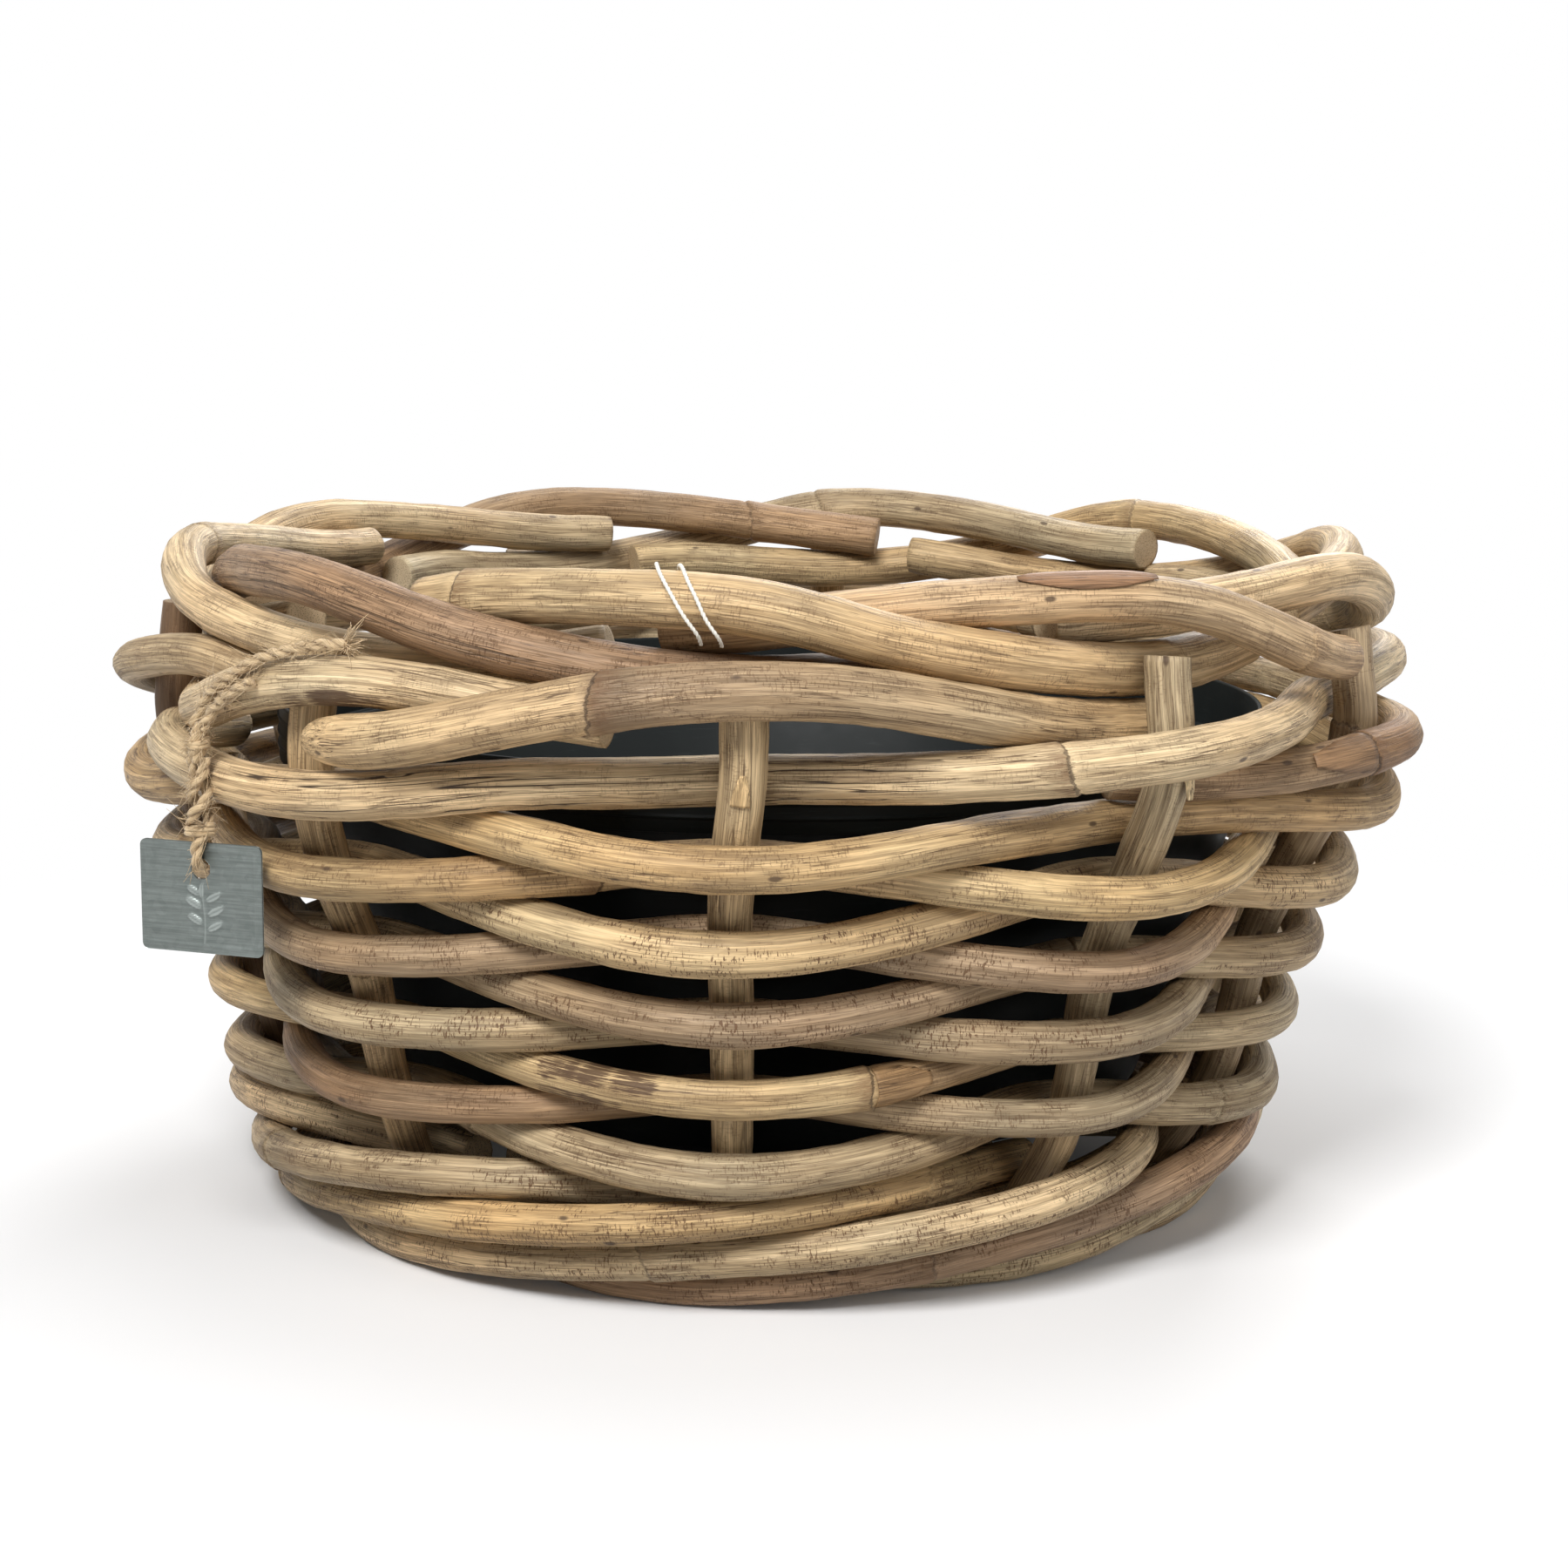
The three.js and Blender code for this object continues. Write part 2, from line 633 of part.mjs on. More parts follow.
// The loop's two strands hang side by side and turn to pass in front of and behind the plate
function addLoop() {
  const r = twineDiameter / 2;
  const centre = polar(knotPlace);
  const top = knotPlace[2] - knotDiameter / 2 - touchGap;
  const bend = r + tagThickness / 2 + loopSideClearance;
  const holeTop = tagTopHeight - tagHoleDrop + tagHoleDiameter / 2;
  const turnHeight = holeTop - r - touchGap + bend;
  const places = [];
  const strandSteps = 16;
  const bendSteps = 8;
  const strand = (side, k) => {
    const t = k / strandSteps;
    const twist = radians(loopTwist) * THREE.MathUtils.smoothstep(t, 0, loopTwistShare);
    const spread = loopTopSpread + (bend - loopTopSpread) * t;
    const p = centre.clone();
    p.z = top + (turnHeight - top) * t;
    p.addScaledVector(tagAlong, side * spread * Math.cos(twist));
    p.addScaledVector(tagOut, side * spread * Math.sin(twist));
    return p.toArray();
  };
  for (let k = 0; k <= strandSteps; k += 1) places.push(strand(1, k));
  for (let k = 1; k < bendSteps; k += 1) {
    const a = (Math.PI * k) / bendSteps;
    const p = centre.clone();
    p.z = turnHeight - bend * Math.sin(a);
    p.addScaledVector(tagOut, bend * Math.cos(a));
    places.push(p.toArray());
  }
  for (let k = strandSteps; k >= 0; k -= 1) places.push(strand(-1, k));
  addMesh('twine_loop', tube(places, places.map(() => r), slimSides, false), 0xb9925f, 0.95);
}

function addTag() {
  const w = tagWidth / 2;
  const h = tagHeight;
  const c = tagCornerRadius;
  const outline = new THREE.Shape();
  outline.moveTo(-w + c, -h);
  outline.lineTo(w - c, -h);
  outline.absarc(w - c, -h + c, c, -Math.PI / 2, 0, false);
  outline.lineTo(w, -c);
  outline.absarc(w - c, -c, c, 0, Math.PI / 2, false);
  outline.lineTo(-w + c, 0);
  outline.absarc(-w + c, -c, c, Math.PI / 2, Math.PI, false);
  outline.lineTo(-w, -h + c);
  outline.absarc(-w + c, -h + c, c, Math.PI, 1.5 * Math.PI, false);
  const hole = new THREE.Path();
  hole.absarc(0, -tagHoleDrop, tagHoleDiameter / 2, 0, 2 * Math.PI, true);
  outline.holes.push(hole);
  const plate = new THREE.ExtrudeGeometry(outline, { depth: tagThickness, bevelEnabled: false, curveSegments: 8 });
  plate.translate(0, 0, -tagThickness / 2);
  plate.rotateX(Math.PI / 2);
  plate.rotateZ(radians(tagYaw));
  const place = polar(knotPlace);
  addMesh('tag_plate', plate, 0x8a9496, 0.35, 0.9).position.set(place.x, place.y, tagTopHeight);
}

function addThread() {
  addMesh('thread_tie', cord(threadRoute.map(polar), threadDiameter, 40), 0xe6e0d0, 0.8);
}

addStakes();
addRows();
addRouted('weaver_10', climbingDiameter, climbingCounts, climbingSides, climbingHeights, 0xb89d72);
addRouted('weaver_11', returningDiameter, returningCounts, returningSides, returningHeights, 0xa98c62);
addRouted('weaver_12', crossingDiameter, crossingCounts, crossingSides, crossingHeights, 0xa58f6b);
addBorder();
addFoot();
addHoop();
const settled = settle();
pressDown();
console.error(`settled: worst shortfall ${settled.worst.toFixed(3)} mm after ${settled.rounds} rounds`);
addCaneMeshes();
addSticks();
addLiner();
addTwine();
addLoop();
addTag();
addThread();

export default group;
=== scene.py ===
import math

import bmesh
import bpy
import numpy as np
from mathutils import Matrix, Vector


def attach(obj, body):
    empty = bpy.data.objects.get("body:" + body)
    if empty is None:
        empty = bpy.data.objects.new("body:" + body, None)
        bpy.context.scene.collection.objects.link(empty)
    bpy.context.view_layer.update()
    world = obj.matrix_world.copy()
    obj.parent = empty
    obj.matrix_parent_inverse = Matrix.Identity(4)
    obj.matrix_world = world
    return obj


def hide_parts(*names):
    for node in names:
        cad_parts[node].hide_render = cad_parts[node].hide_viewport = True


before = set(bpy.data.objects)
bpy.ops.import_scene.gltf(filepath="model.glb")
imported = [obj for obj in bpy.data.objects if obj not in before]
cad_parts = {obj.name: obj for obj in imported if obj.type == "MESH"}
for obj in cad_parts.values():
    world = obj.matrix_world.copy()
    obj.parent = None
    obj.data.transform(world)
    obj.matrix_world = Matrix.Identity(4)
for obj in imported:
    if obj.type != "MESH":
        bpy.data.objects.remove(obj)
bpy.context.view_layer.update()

MM = 0.001


# Camera: a view from a little above the border, tipped down
camera_place = (-0.6 * MM, -1096.1 * MM, 335.2 * MM)
camera_tip, camera_roll, camera_turn = 9.534, -0.571, -0.12
camera_lens, camera_sensor = 64.3, 36

camera_data = bpy.data.cameras.new("camera")
camera_data.lens = camera_lens
camera_data.sensor_width = camera_sensor
camera = bpy.data.objects.new("camera", camera_data)
bpy.context.scene.collection.objects.link(camera)
camera.location = camera_place
camera.rotation_euler = [math.radians(a) for a in (90 - camera_tip, camera_roll, camera_turn)]
bpy.context.scene.camera = camera


# Small helpers for shapes

def polar(angle, radius, height):
    """Place in metres from an angle in degrees, a radius and a height in millimetres"""
    a = math.radians(angle)
    return np.array([radius * math.sin(a), -radius * math.cos(a), height]) * MM


def even_turns(count):
    """Angles evenly round a full turn"""
    return 2 * math.pi * np.arange(count) / count


def run_along(points):
    """Length along a line of points, at each of them"""
    return np.concatenate([[0], np.cumsum(np.linalg.norm(np.diff(points, axis=0), axis=1))])


def way_out(side, up, turn):
    """Direction from a line at an angle from its side towards its up"""
    return side * np.cos(turn)[..., None] + up * np.sin(turn)[..., None]


def cane_texture(radius, turn, along):
    """Place in a cane's or cord's texture: across, across and along"""
    return np.stack(np.broadcast_arrays(radius * np.cos(turn), radius * np.sin(turn), along), -1)


def tube_faces(rings, sides, first=0):
    """Faces between the rings of a tube whose vertices are numbered from first"""
    faces = []
    for i in range(rings - 1):
        here = first + i * sides
        for j in range(sides):
            k = (j + 1) % sides
            faces.append((here + j, here + k, here + sides + k, here + sides + j))
    return faces


def cap_faces(rings, sides, first=0):
    """The two end faces of such a tube"""
    last = first + (rings - 1) * sides
    return [tuple(range(first, first + sides))[::-1], tuple(range(last, last + sides))]


def add_object(name, vertices, faces, body, material, replaces=(), slot=None):
    """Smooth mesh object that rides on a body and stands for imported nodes"""
    mesh = bpy.data.meshes.new(name)
    mesh.from_pydata([tuple(v) for v in vertices], [], faces)
    mesh.update()
    mesh.shade_smooth()
    mesh.materials.append(material)
    obj = bpy.data.objects.new(name, mesh)
    bpy.context.scene.collection.objects.link(obj)
    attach(obj, body)
    if replaces:
        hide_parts(*replaces)
    return obj


def set_attributes(obj, **attributes):
    """Gives each vertex values that the materials read: numbers, vectors or colours by their width"""
    kinds = {1: ("FLOAT", "value"), 3: ("FLOAT_VECTOR", "vector"), 4: ("FLOAT_COLOR", "color")}
    for name, values in attributes.items():
        values = np.asarray(values, np.float32).reshape(len(obj.data.vertices), -1)
        kind, key = kinds[values.shape[1]]
        obj.data.attributes.new(name, kind, "POINT").data.foreach_set(key, values.ravel())


def natural_spline(knots, points, at):
    """Natural cubic spline through points at knots, looked up at the places in at"""
    gaps = np.diff(knots)
    slopes = np.diff(points, axis=0) / gaps[:, None]
    matrix = np.eye(len(knots))
    for i in range(1, len(gaps)):
        matrix[i, i - 1:i + 2] = gaps[i - 1], 2 * (gaps[i - 1] + gaps[i]), gaps[i]
    right = np.zeros_like(points)
    right[1:-1] = 6 * np.diff(slopes, axis=0)
    bend = np.linalg.solve(matrix, right)
    k = np.clip(np.searchsorted(knots, at) - 1, 0, len(gaps) - 1)
    h = gaps[k][:, None]
    a = (knots[k + 1] - at)[:, None]
    b = (at - knots[k])[:, None]
    return (
        (bend[k] * a**3 + bend[k + 1] * b**3) / (6 * h)
        + (points[k] / h - bend[k] * h / 6) * a
        + (points[k + 1] / h - bend[k + 1] * h / 6) * b
    )


class Line:
    """A centreline with even stations, side directions that don't twist, and a radius at each station"""

    # Places looked up between two points, and the millimetres of height that count as much as facing sideways
    fine_steps = 12
    height_weight = 60

    def __init__(self, points, radii, step):
        points = np.asarray(points, float)
        knots = run_along(points)
        fine = np.linspace(0, knots[-1], self.fine_steps * len(points))
        run = run_along(natural_spline(knots, points, fine))
        self.length = run[-1]
        count = max(4, int(round(self.length / step)) + 1)
        self.s = np.linspace(0, self.length, count)
        at = np.interp(self.s, run, fine)
        self.place = natural_spline(knots, points, at)
        self.radius = np.interp(at, knots, radii)
        self.along = np.gradient(self.place, self.s, axis=0)
        self.along /= np.linalg.norm(self.along, axis=1)[:, None]
        side = np.cross(self.along[0], (0.0, 0.0, 1.0))
        if np.linalg.norm(side) < 1e-3:
            side = np.array([1.0, 0.0, 0.0])
        side = side / np.linalg.norm(side)
        sides = []
        for t in self.along:
            side = side - t * (side @ t)
            side = side / np.linalg.norm(side)
            sides.append(side)
        self.side = np.array(sides)
        self.up = np.cross(self.along, self.side)

    def station(self, angle, height=None):
        """Length along the line where it passes an angle round the basket, near a height if one is given"""
        a = math.radians(angle)
        flat = self.place[:, :2] / np.linalg.norm(self.place[:, :2], axis=1)[:, None]
        off = 1 - flat @ np.array([math.sin(a), -math.cos(a)])
        if height is not None:
            off = off + (np.abs(self.place[:, 2] / MM - height) / self.height_weight) ** 2
        return self.s[int(np.argmin(off))]

    def spot(self, where):
        """Length along the line at an angle round the basket, or at (angle, height)"""
        return self.station(*where) if isinstance(where, tuple) else self.station(where)

    def at(self, s):
        """Place, side and up at lengths s; past either end they stay as they are there"""
        return [np.stack([np.interp(s, self.s, values[:, k]) for k in range(3)], -1)
                for values in (self.place, self.side, self.up)]


def packed_rings(node):
    """Centres and radii of the rings that a packed cane is made of, from one end to the other"""
    same_place, level = 2e-6, 0.999
    bm = bmesh.new()
    bm.from_mesh(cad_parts[node].data)
    bmesh.ops.remove_doubles(bm, verts=bm.verts, dist=same_place)
    bm.verts.ensure_lookup_table()
    near = [[e.other_vert(v).index for e in v.link_edges] for v in bm.verts]
    place = np.array([v.co for v in bm.verts])

    # The end face is the largest group of level faces that meet in one corner
    corner = max(bm.verts, key=lambda v: len(v.link_edges))
    groups = [[f for f in corner.link_faces if f.normal.dot(g.normal) > level] for g in corner.link_faces]
    ring = sorted({v.index for f in max(groups, key=len) for v in f.verts})
    bm.free()
    seen = set(ring)
    centres, radii = [], []
    while ring:
        middle = place[ring].mean(axis=0)
        centres.append(middle)
        radii.append(np.linalg.norm(place[ring] - middle, axis=1).mean())
        ring = sorted({j for i in ring for j in near[i] if j not in seen})
        seen.update(ring)
    return np.array(centres), np.array(radii)


# Shader building

def put(socket, value):
    """Links or sets a socket of a node tree"""
    if isinstance(value, bpy.types.NodeSocket):
        socket.id_data.links.new(value, socket)
    elif socket.type == "RGBA":
        socket.default_value = (*value, 1)
    else:
        socket.default_value = value


def add_node(tree, kind, inputs, output=0, **settings):
    """New node of a tree: its inputs linked or set, and one of its outputs given"""
    node = tree.nodes.new("ShaderNode" + kind)
    for key, value in settings.items():
        setattr(node, key, value)
    for key, value in inputs.items():
        put(node.inputs[key], value)
    return node.outputs[output]


class Shader:
    """A material's node tree, built by short calls"""

    inputs = {"color": "Base Color", "rough": "Roughness", "metal": "Metallic", "normal": "Normal",
              "specular": "Specular IOR Level", "sheen": "Sheen Weight"}

    def __init__(self, name):
        self.material = bpy.data.materials.new(name)
        self.material.use_nodes = True
        self.tree = self.material.node_tree
        self.tree.nodes.clear()
        self.output = self.tree.nodes.new("ShaderNodeOutputMaterial")
        self.surface = self.tree.nodes.new("ShaderNodeBsdfPrincipled")
        put(self.output.inputs["Surface"], self.surface.outputs["BSDF"])

    def node(self, kind, inputs, output=0, **settings):
        return add_node(self.tree, kind, inputs, output, **settings)

    def finished(self, **values):
        """The material, with its colour and what else is given linked or set"""
        for key, value in dict(values, color=self.color).items():
            put(self.surface.inputs[self.inputs[key]], value)
        return self.material

    def attribute(self, name, output="Vector"):
        return self.node("Attribute", {}, output, attribute_type="GEOMETRY", attribute_name=name)

    def place(self):
        return self.node("TexCoord", {}, "Object")

    def noise(self, vector, scale, detail=2.0, rough=0.5):
        """Noise over a vector that is scaled first"""
        scaled = self.node("Mapping", {"Vector": vector, "Scale": scale})
        return self.node("TexNoise", {"Vector": scaled, "Scale": 1.0, "Detail": detail, "Roughness": rough})

    def cells(self, vector, scale, output="Distance"):
        """Cells over a vector that is scaled first"""
        scaled = self.node("Mapping", {"Vector": vector, "Scale": scale})
        return self.node("TexVoronoi", {"Vector": scaled, "Scale": 1.0}, output)

    def math(self, operation, a, b=0.0, clamp=False):
        return self.node("Math", {0: a, 1: b}, operation=operation, use_clamp=clamp)

    def times(self, a, b, clamp=False):
        return self.math("MULTIPLY", a, b, clamp)

    def plus(self, a, b):
        return self.math("ADD", a, b)

    def between(self, value, low, high, to_low=0.0, to_high=1.0):
        """Smooth step from to_low below low to to_high above high"""
        inputs = {"Value": value, "From Min": low, "From Max": high, "To Min": to_low, "To Max": to_high}
        return self.node("MapRange", inputs, interpolation_type="SMOOTHSTEP")

    def close_to(self, value, middle, core, fade):
        """1 where a value is within core of its middle, 0 further off than fade"""
        return self.between(self.math("ABSOLUTE", self.math("SUBTRACT", value, middle)), core, fade, 1.0, 0.0)

    def mix(self, share, a, b, blend="MIX"):
        return self.node("Mix", {0: share, 6: a, 7: b}, 2, data_type="RGBA", blend_type=blend)

    def paint(self, share, color):
        """Covers a share of the colour so far with another"""
        self.color = self.mix(share, self.color, color)

    def split(self, vector):
        return [self.node("SeparateXYZ", {0: vector}, axis) for axis in range(3)]

    def bump(self, height, strength, distance):
        return self.node("Bump", {"Height": height, "Strength": strength, "Distance": distance})


def linear(color):
    """Linear colour from 0 to 255 screen values"""
    return tuple(((c / 255 + 0.055) / 1.055) ** 2.4 for c in color)


def cane_material():
    """Unpeeled rattan. It reads the attributes cane (place in the texture), tint (the cane's own colour),
    mark (way past a ring, cut face, dark stain), habit (ticks, streaks, cracks) and ring (its strength)"""
    m = Shader("rattan")
    cane = m.attribute("cane")
    tint = m.attribute("tint", "Color")
    past, cut, stain = m.split(m.attribute("mark"))
    ticks, streaks, cracks = m.split(m.attribute("habit"))
    ring = m.attribute("ring", "Fac")

    def grain(across, along, detail=2.0, rough=0.55):
        """Noise drawn out along the cane, with its sizes in millimetres"""
        return m.noise(cane, (1000 / across, 1000 / across, 1000 / along), detail, rough)

    def shade(*factors):
        """The cane's own colour, lighter or darker"""
        return m.mix(1.0, tint, factors, "MULTIPLY")

    fibre = grain(0.8, 36, 2.0, 0.6)
    fine = grain(0.36, 18, 2.0, 0.6)
    band = grain(2.6, 110, 2.0, 0.5)
    patch = grain(8, 60, 4.0, 0.62)
    cluster = grain(8, 20, 3.0, 0.6)

    # Broad tones: pale bands, grey-brown weathering and warm patches
    m.color = m.mix(m.between(band, 0.36, 0.64), shade(0.78, 0.745, 0.70), shade(1.2, 1.19, 1.18))
    m.paint(m.between(patch, 0.52, 0.70, 0.0, 0.5), m.mix(0.45, tint, (0.16, 0.115, 0.07)))
    m.paint(m.between(patch, 0.30, 0.46, 0.45, 0.0), shade(1.2, 1.21, 1.2))

    # Grain along the cane
    m.color = m.mix(1.0, m.color, m.between(fine, 0.36, 0.64, 0.79, 1.12), "MULTIPLY")
    dark_fibre = m.times(m.between(fibre, 0.50, 0.575), m.between(cluster, 0.34, 0.56, 0.5, 1.0))
    m.paint(m.times(dark_fibre, 0.58), m.mix(0.78, tint, (0.085, 0.042, 0.016)))

    # Fine dark lines
    long_line = m.times(m.close_to(grain(2.0, 90), 0.5, 0.004, 0.02), m.between(grain(9, 50), 0.46, 0.58))
    short_line = m.close_to(grain(1.2, 40, 1.0), 0.46, 0.004, 0.022)
    short_line = m.times(short_line, m.between(cluster, 0.44, 0.58, 0.0, 0.85))
    dark_line = m.times(m.math("MAXIMUM", long_line, short_line), streaks, True)
    m.paint(m.times(dark_line, 0.86), (0.085, 0.045, 0.021))

    # Short cross ticks and insect specks
    tick = m.times(m.between(grain(2.0, 0.55, 2.0, 0.5), 0.56, 0.62), m.between(cluster, 0.42, 0.56))
    tick = m.times(tick, ticks, True)
    m.paint(m.times(tick, 0.92), (0.13, 0.064, 0.028))
    speck = m.cells(cane, (1000 / 14, 1000 / 14, 1000 / 30))
    m.paint(m.times(m.between(speck, 0.045, 0.09, 1.0, 0.0), 0.85), (0.07, 0.04, 0.022))

    # Dark stains, streaked along the cane
    streaked = m.plus(m.times(grain(0.8, 26, 3.0, 0.7), 0.9), stain)
    stained = m.times(m.between(streaked, 1.0, 1.07), m.between(stain, 0.02, 0.2))
    m.paint(m.times(stained, 0.88), (0.07, 0.034, 0.018))

    # Cracks along the cane
    crack = m.times(m.close_to(grain(4.2, 220, 1.0), 0.5, 0.002, 0.012), cracks, True)
    m.paint(m.times(crack, 0.94), (0.03, 0.017, 0.01))

    # Rings: a dark line with a brown fibrous scar on one side and a pale band on the other
    past = m.plus(past, m.times(m.math("SUBTRACT", grain(2.4, 7, 3.0, 0.6), 0.5), 0.004))
    scar = m.times(m.between(past, 0.0, 0.001), m.between(past, 0.0015, 0.011, 1.0, 0.0))
    scar = m.times(scar, m.between(grain(0.9, 5, 3.0, 0.7), 0.34, 0.6, 0.25, 1.0))
    m.paint(m.times(scar, m.times(ring, 0.8)), (0.17, 0.085, 0.038))
    rim = m.times(m.between(past, -0.006, -0.001), m.between(past, -0.0008, 0.0, 1.0, 0.0))
    m.paint(m.times(rim, m.times(ring, 0.5)), shade(1.2, 1.18, 1.15))
    groove = m.times(m.between(m.math("ABSOLUTE", past), 0.0003, 0.0009, 1.0, 0.0), ring, True)
    m.paint(m.times(groove, 0.9), (0.05, 0.027, 0.014))

    # Cut faces with their pores
    pores = m.between(m.cells(cane, (1900, 1900, 300)), 0.18, 0.34)
    m.paint(cut, m.mix(pores, (0.13, 0.08, 0.045), m.mix(0.5, tint, (0.62, 0.47, 0.30))))

    height = m.plus(m.times(fine, 0.5), m.times(dark_fibre, -0.35))
    for depth, mark in ((0.5, dark_line), (1.6, crack), (0.35, tick), (0.9, groove), (0.5, scar)):
        height = m.math("SUBTRACT", height, m.times(mark, depth))
    return m.finished(rough=m.between(band, 0.3, 0.7, 0.62, 0.48), specular=0.34,
                      normal=m.bump(height, 0.8, 0.0004))


rattan = cane_material()


# Colours of the canes, as screen values
straw = (213, 188, 149)
pale = (226, 204, 164)
honey = (203, 176, 135)
greyish = (188, 167, 133)
grey_brown = (170, 148, 117)
pinkish = (188, 162, 130)
dark_brown = (120, 96, 72)


# Noise along and around a cane, for its shape

def waves(at, seed, longest):
    """Sum of sine waves with wavelengths from longest down, within about -1 to 1"""
    count, shorter, weaker, highest = 5, 1.7, 0.75, 2.2
    rng = np.random.default_rng(seed)
    total = np.zeros_like(at)
    for k in range(count):
        length = longest / shorter**k
        total += np.sin(2 * math.pi * (at / length + rng.random())) * weaker**k
    return total / highest


def swelling(x, width):
    """Bell shape, 1 where x is 0"""
    return np.exp(-((x / width) ** 2))


# The mesh of a cane: its sides, the turn that random angles are shares of, and how far the texture is
# shifted along it for each step of the seed
cane_sides = 20
random_turn = 6.28
texture_shift = 0.731

# Its rings: how far their marks reach and fade, the way past a ring that is given where there is none,
# and the least strength of a ring with what chance adds to it
ring_reach = 22 * MM
ring_fade = 6 * MM
no_ring = 0.03
named_ring_strength = (0.75, 0.25)
chance_ring_strength = (0.2, 0.35)

# Its ends: how much they slant, as a share of the radius, and how their edges and faces are
end_slope = {"flat": 0.10, "tip": 1.1}
tip_length = 30 * MM
tip_share = 0.42
cut_edge = 1.2 * MM
cut_share = 0.955
cut_roughness = 0.35 * MM
cap_shares = (0.86, 0.5)


def opaque(color):
    """Colours with a fourth value of 1"""
    return np.hstack([color, np.ones((len(color), 1))])


class Cane:
    """Fine mesh of one cane around a packed cane's centreline

    S is the length along the line and T the angle round it, at each vertex of the side"""

    made = {}

    def __init__(self, node, slot, color, stops=(), rings=(), stains=(), cracks=(), habit=(0.6, 0.6, 0.0),
                 ends=("flat", "flat"), step=3 * MM, floor=False):
        self.made[node] = self
        self.seed = sum(ord(c) * (k + 3) for k, c in enumerate(node)) % 1000
        self.rng = np.random.default_rng(self.seed)
        self.line = Line(*packed_rings(node), step)
        places = self.ring_places(rings)
        self.turn = even_turns(cane_sides)
        self.S, self.T = np.meshgrid(self.stations(places), self.turn, indexing="ij")
        self.radius = self.uneven_radius()
        past, ring = self.grow_rings(places, *(named_ring_strength if rings else chance_ring_strength))
        self.phase = random_turn * self.rng.random(2)
        self.end_reach = self.line.radius[[0, -1]] * [end_slope[end] for end in ends]
        at = np.clip(self.S, self.end_cut(0, self.T), self.line.length - self.end_cut(1, self.T))
        self.shape_ends(at, ends)

        self.vertices, self.texture = [], []
        out = self.add_surface(at, self.T, self.radius)
        self.faces = tube_faces(*self.S.shape)
        for which in (0, 1):
            self.close_end(which)
        vertices = np.concatenate(self.vertices)
        if floor:
            vertices[:, 2] = np.maximum(vertices[:, 2], 0.0)
        cap_size = (len(vertices) - self.S.size) // 2

        def with_caps(values, first, last):
            """Values of the side, then those of the two end faces"""
            caps = [np.tile(value, (cap_size, 1)) for value in (first, last)]
            return np.concatenate([values.reshape(self.S.size, -1), *caps])

        mark = np.stack([past, np.zeros_like(past), self.stained(stains, out[..., 2])], -1)
        cut_face = (no_ring, 1.0, 0.0)
        tint = self.colors(color, stops)
        obj = add_object(node + "_cane", vertices, self.faces, "basket", rattan, replaces=(node,), slot=slot)
        set_attributes(obj, cane=np.concatenate(self.texture), mark=with_caps(mark, cut_face, cut_face),
                       habit=with_caps(self.habits(habit, cracks), (0, 0, 0), (0, 0, 0)),
                       ring=with_caps(ring, 0, 0), tint=opaque(with_caps(tint, tint[0, 0], tint[-1, 0])))

    def ring_places(self, rings):
        """Lengths along the line at which the cane has rings: those that are named, or else by chance"""
        if rings:
            return [self.line.spot(r) for r in rings]
        first = 0.08 + 0.16 * self.rng.random()
        return list(np.arange(first, self.line.length - 0.03, 0.23 + 0.1 * self.rng.random()))

    def stations(self, places):
        """Lengths along the line of the mesh's rows, closer together at the rings"""
        rows, row_step, least_step = 11, 0.8 * MM, 0.25 * MM
        close = [p + k * row_step for p in places for k in range(-rows, rows + 1)]
        s = np.unique(np.clip(np.concatenate([self.line.s, close]), 0, self.line.length))
        s = s[np.concatenate([[True], np.diff(s) > least_step])]
        s[-1] = self.line.length
        return s

    def uneven_radius(self):
        """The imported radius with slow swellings, flats and fine ridges"""
        S, T, seed = self.S, self.T, self.seed
        radius = np.interp(S, self.line.s, self.line.radius) * (1 + 0.018 * waves(S, seed, 90 * MM))
        for k in (2, 3, 5):
            radius += 0.30 * MM / k * np.sin(k * T + 2.5 * waves(S, seed + 10 * k, 160 * MM))
        return radius + 0.05 * MM * np.sin(9 * T + 3 * waves(S, seed + 77, 60 * MM))

    def grow_rings(self, places, least, spread):
        """Rings where a leaf once grew: a swelling, a groove and a step up to the old sheath

        It gives the way past the nearest ring and how strongly that ring shows"""
        past = np.full_like(self.S, no_ring)
        strength = np.zeros_like(self.S)
        for p in places:
            lean = 0.3 * self.line.radius.mean() * np.cos(self.T - random_turn * self.rng.random())
            lean += 0.5 * MM * np.sin(3 * self.T + random_turn * self.rng.random())
            sign = 1 if self.rng.random() < 0.5 else -1
            away = sign * (self.S - p - lean)
            step_up = np.exp(-np.abs(away) / (16 * MM)) / (1 + np.exp(-np.maximum(away / (0.35 * MM), -60)))
            groove = swelling(away + 0.9 * MM, 1.0 * MM)
            self.radius += (0.3 * swelling(away, 9 * MM) + 0.55 * step_up - 0.4 * groove) * MM
            past = np.where(np.abs(away) < ring_reach, away, past)
            shown = least + spread * self.rng.random()
            strength = np.maximum(strength, np.clip((ring_reach - np.abs(away)) / ring_fade, 0, 1) * shown)
        return past, strength

    def end_cut(self, which, turn, share=1.0):
        """How far the slanting cut lies from an end of the line"""
        return self.end_reach[which] * (1 + share * np.cos(turn - self.phase[which]))

    def shape_ends(self, at, ends):
        """Makes each end thinner: worn to a blunt tip, or only at the edge of its cut"""
        for end, away in zip(ends, (at, self.line.length - at)):
            if end == "tip":
                t = np.clip(away / tip_length, 0, 1)
                self.radius *= tip_share + (1 - tip_share) * np.sqrt(np.clip(1 - (1 - t) ** 2, 0, 1))
            else:
                self.radius *= cut_share + (1 - cut_share) * np.sqrt(np.clip(away / cut_edge, 0, 1))

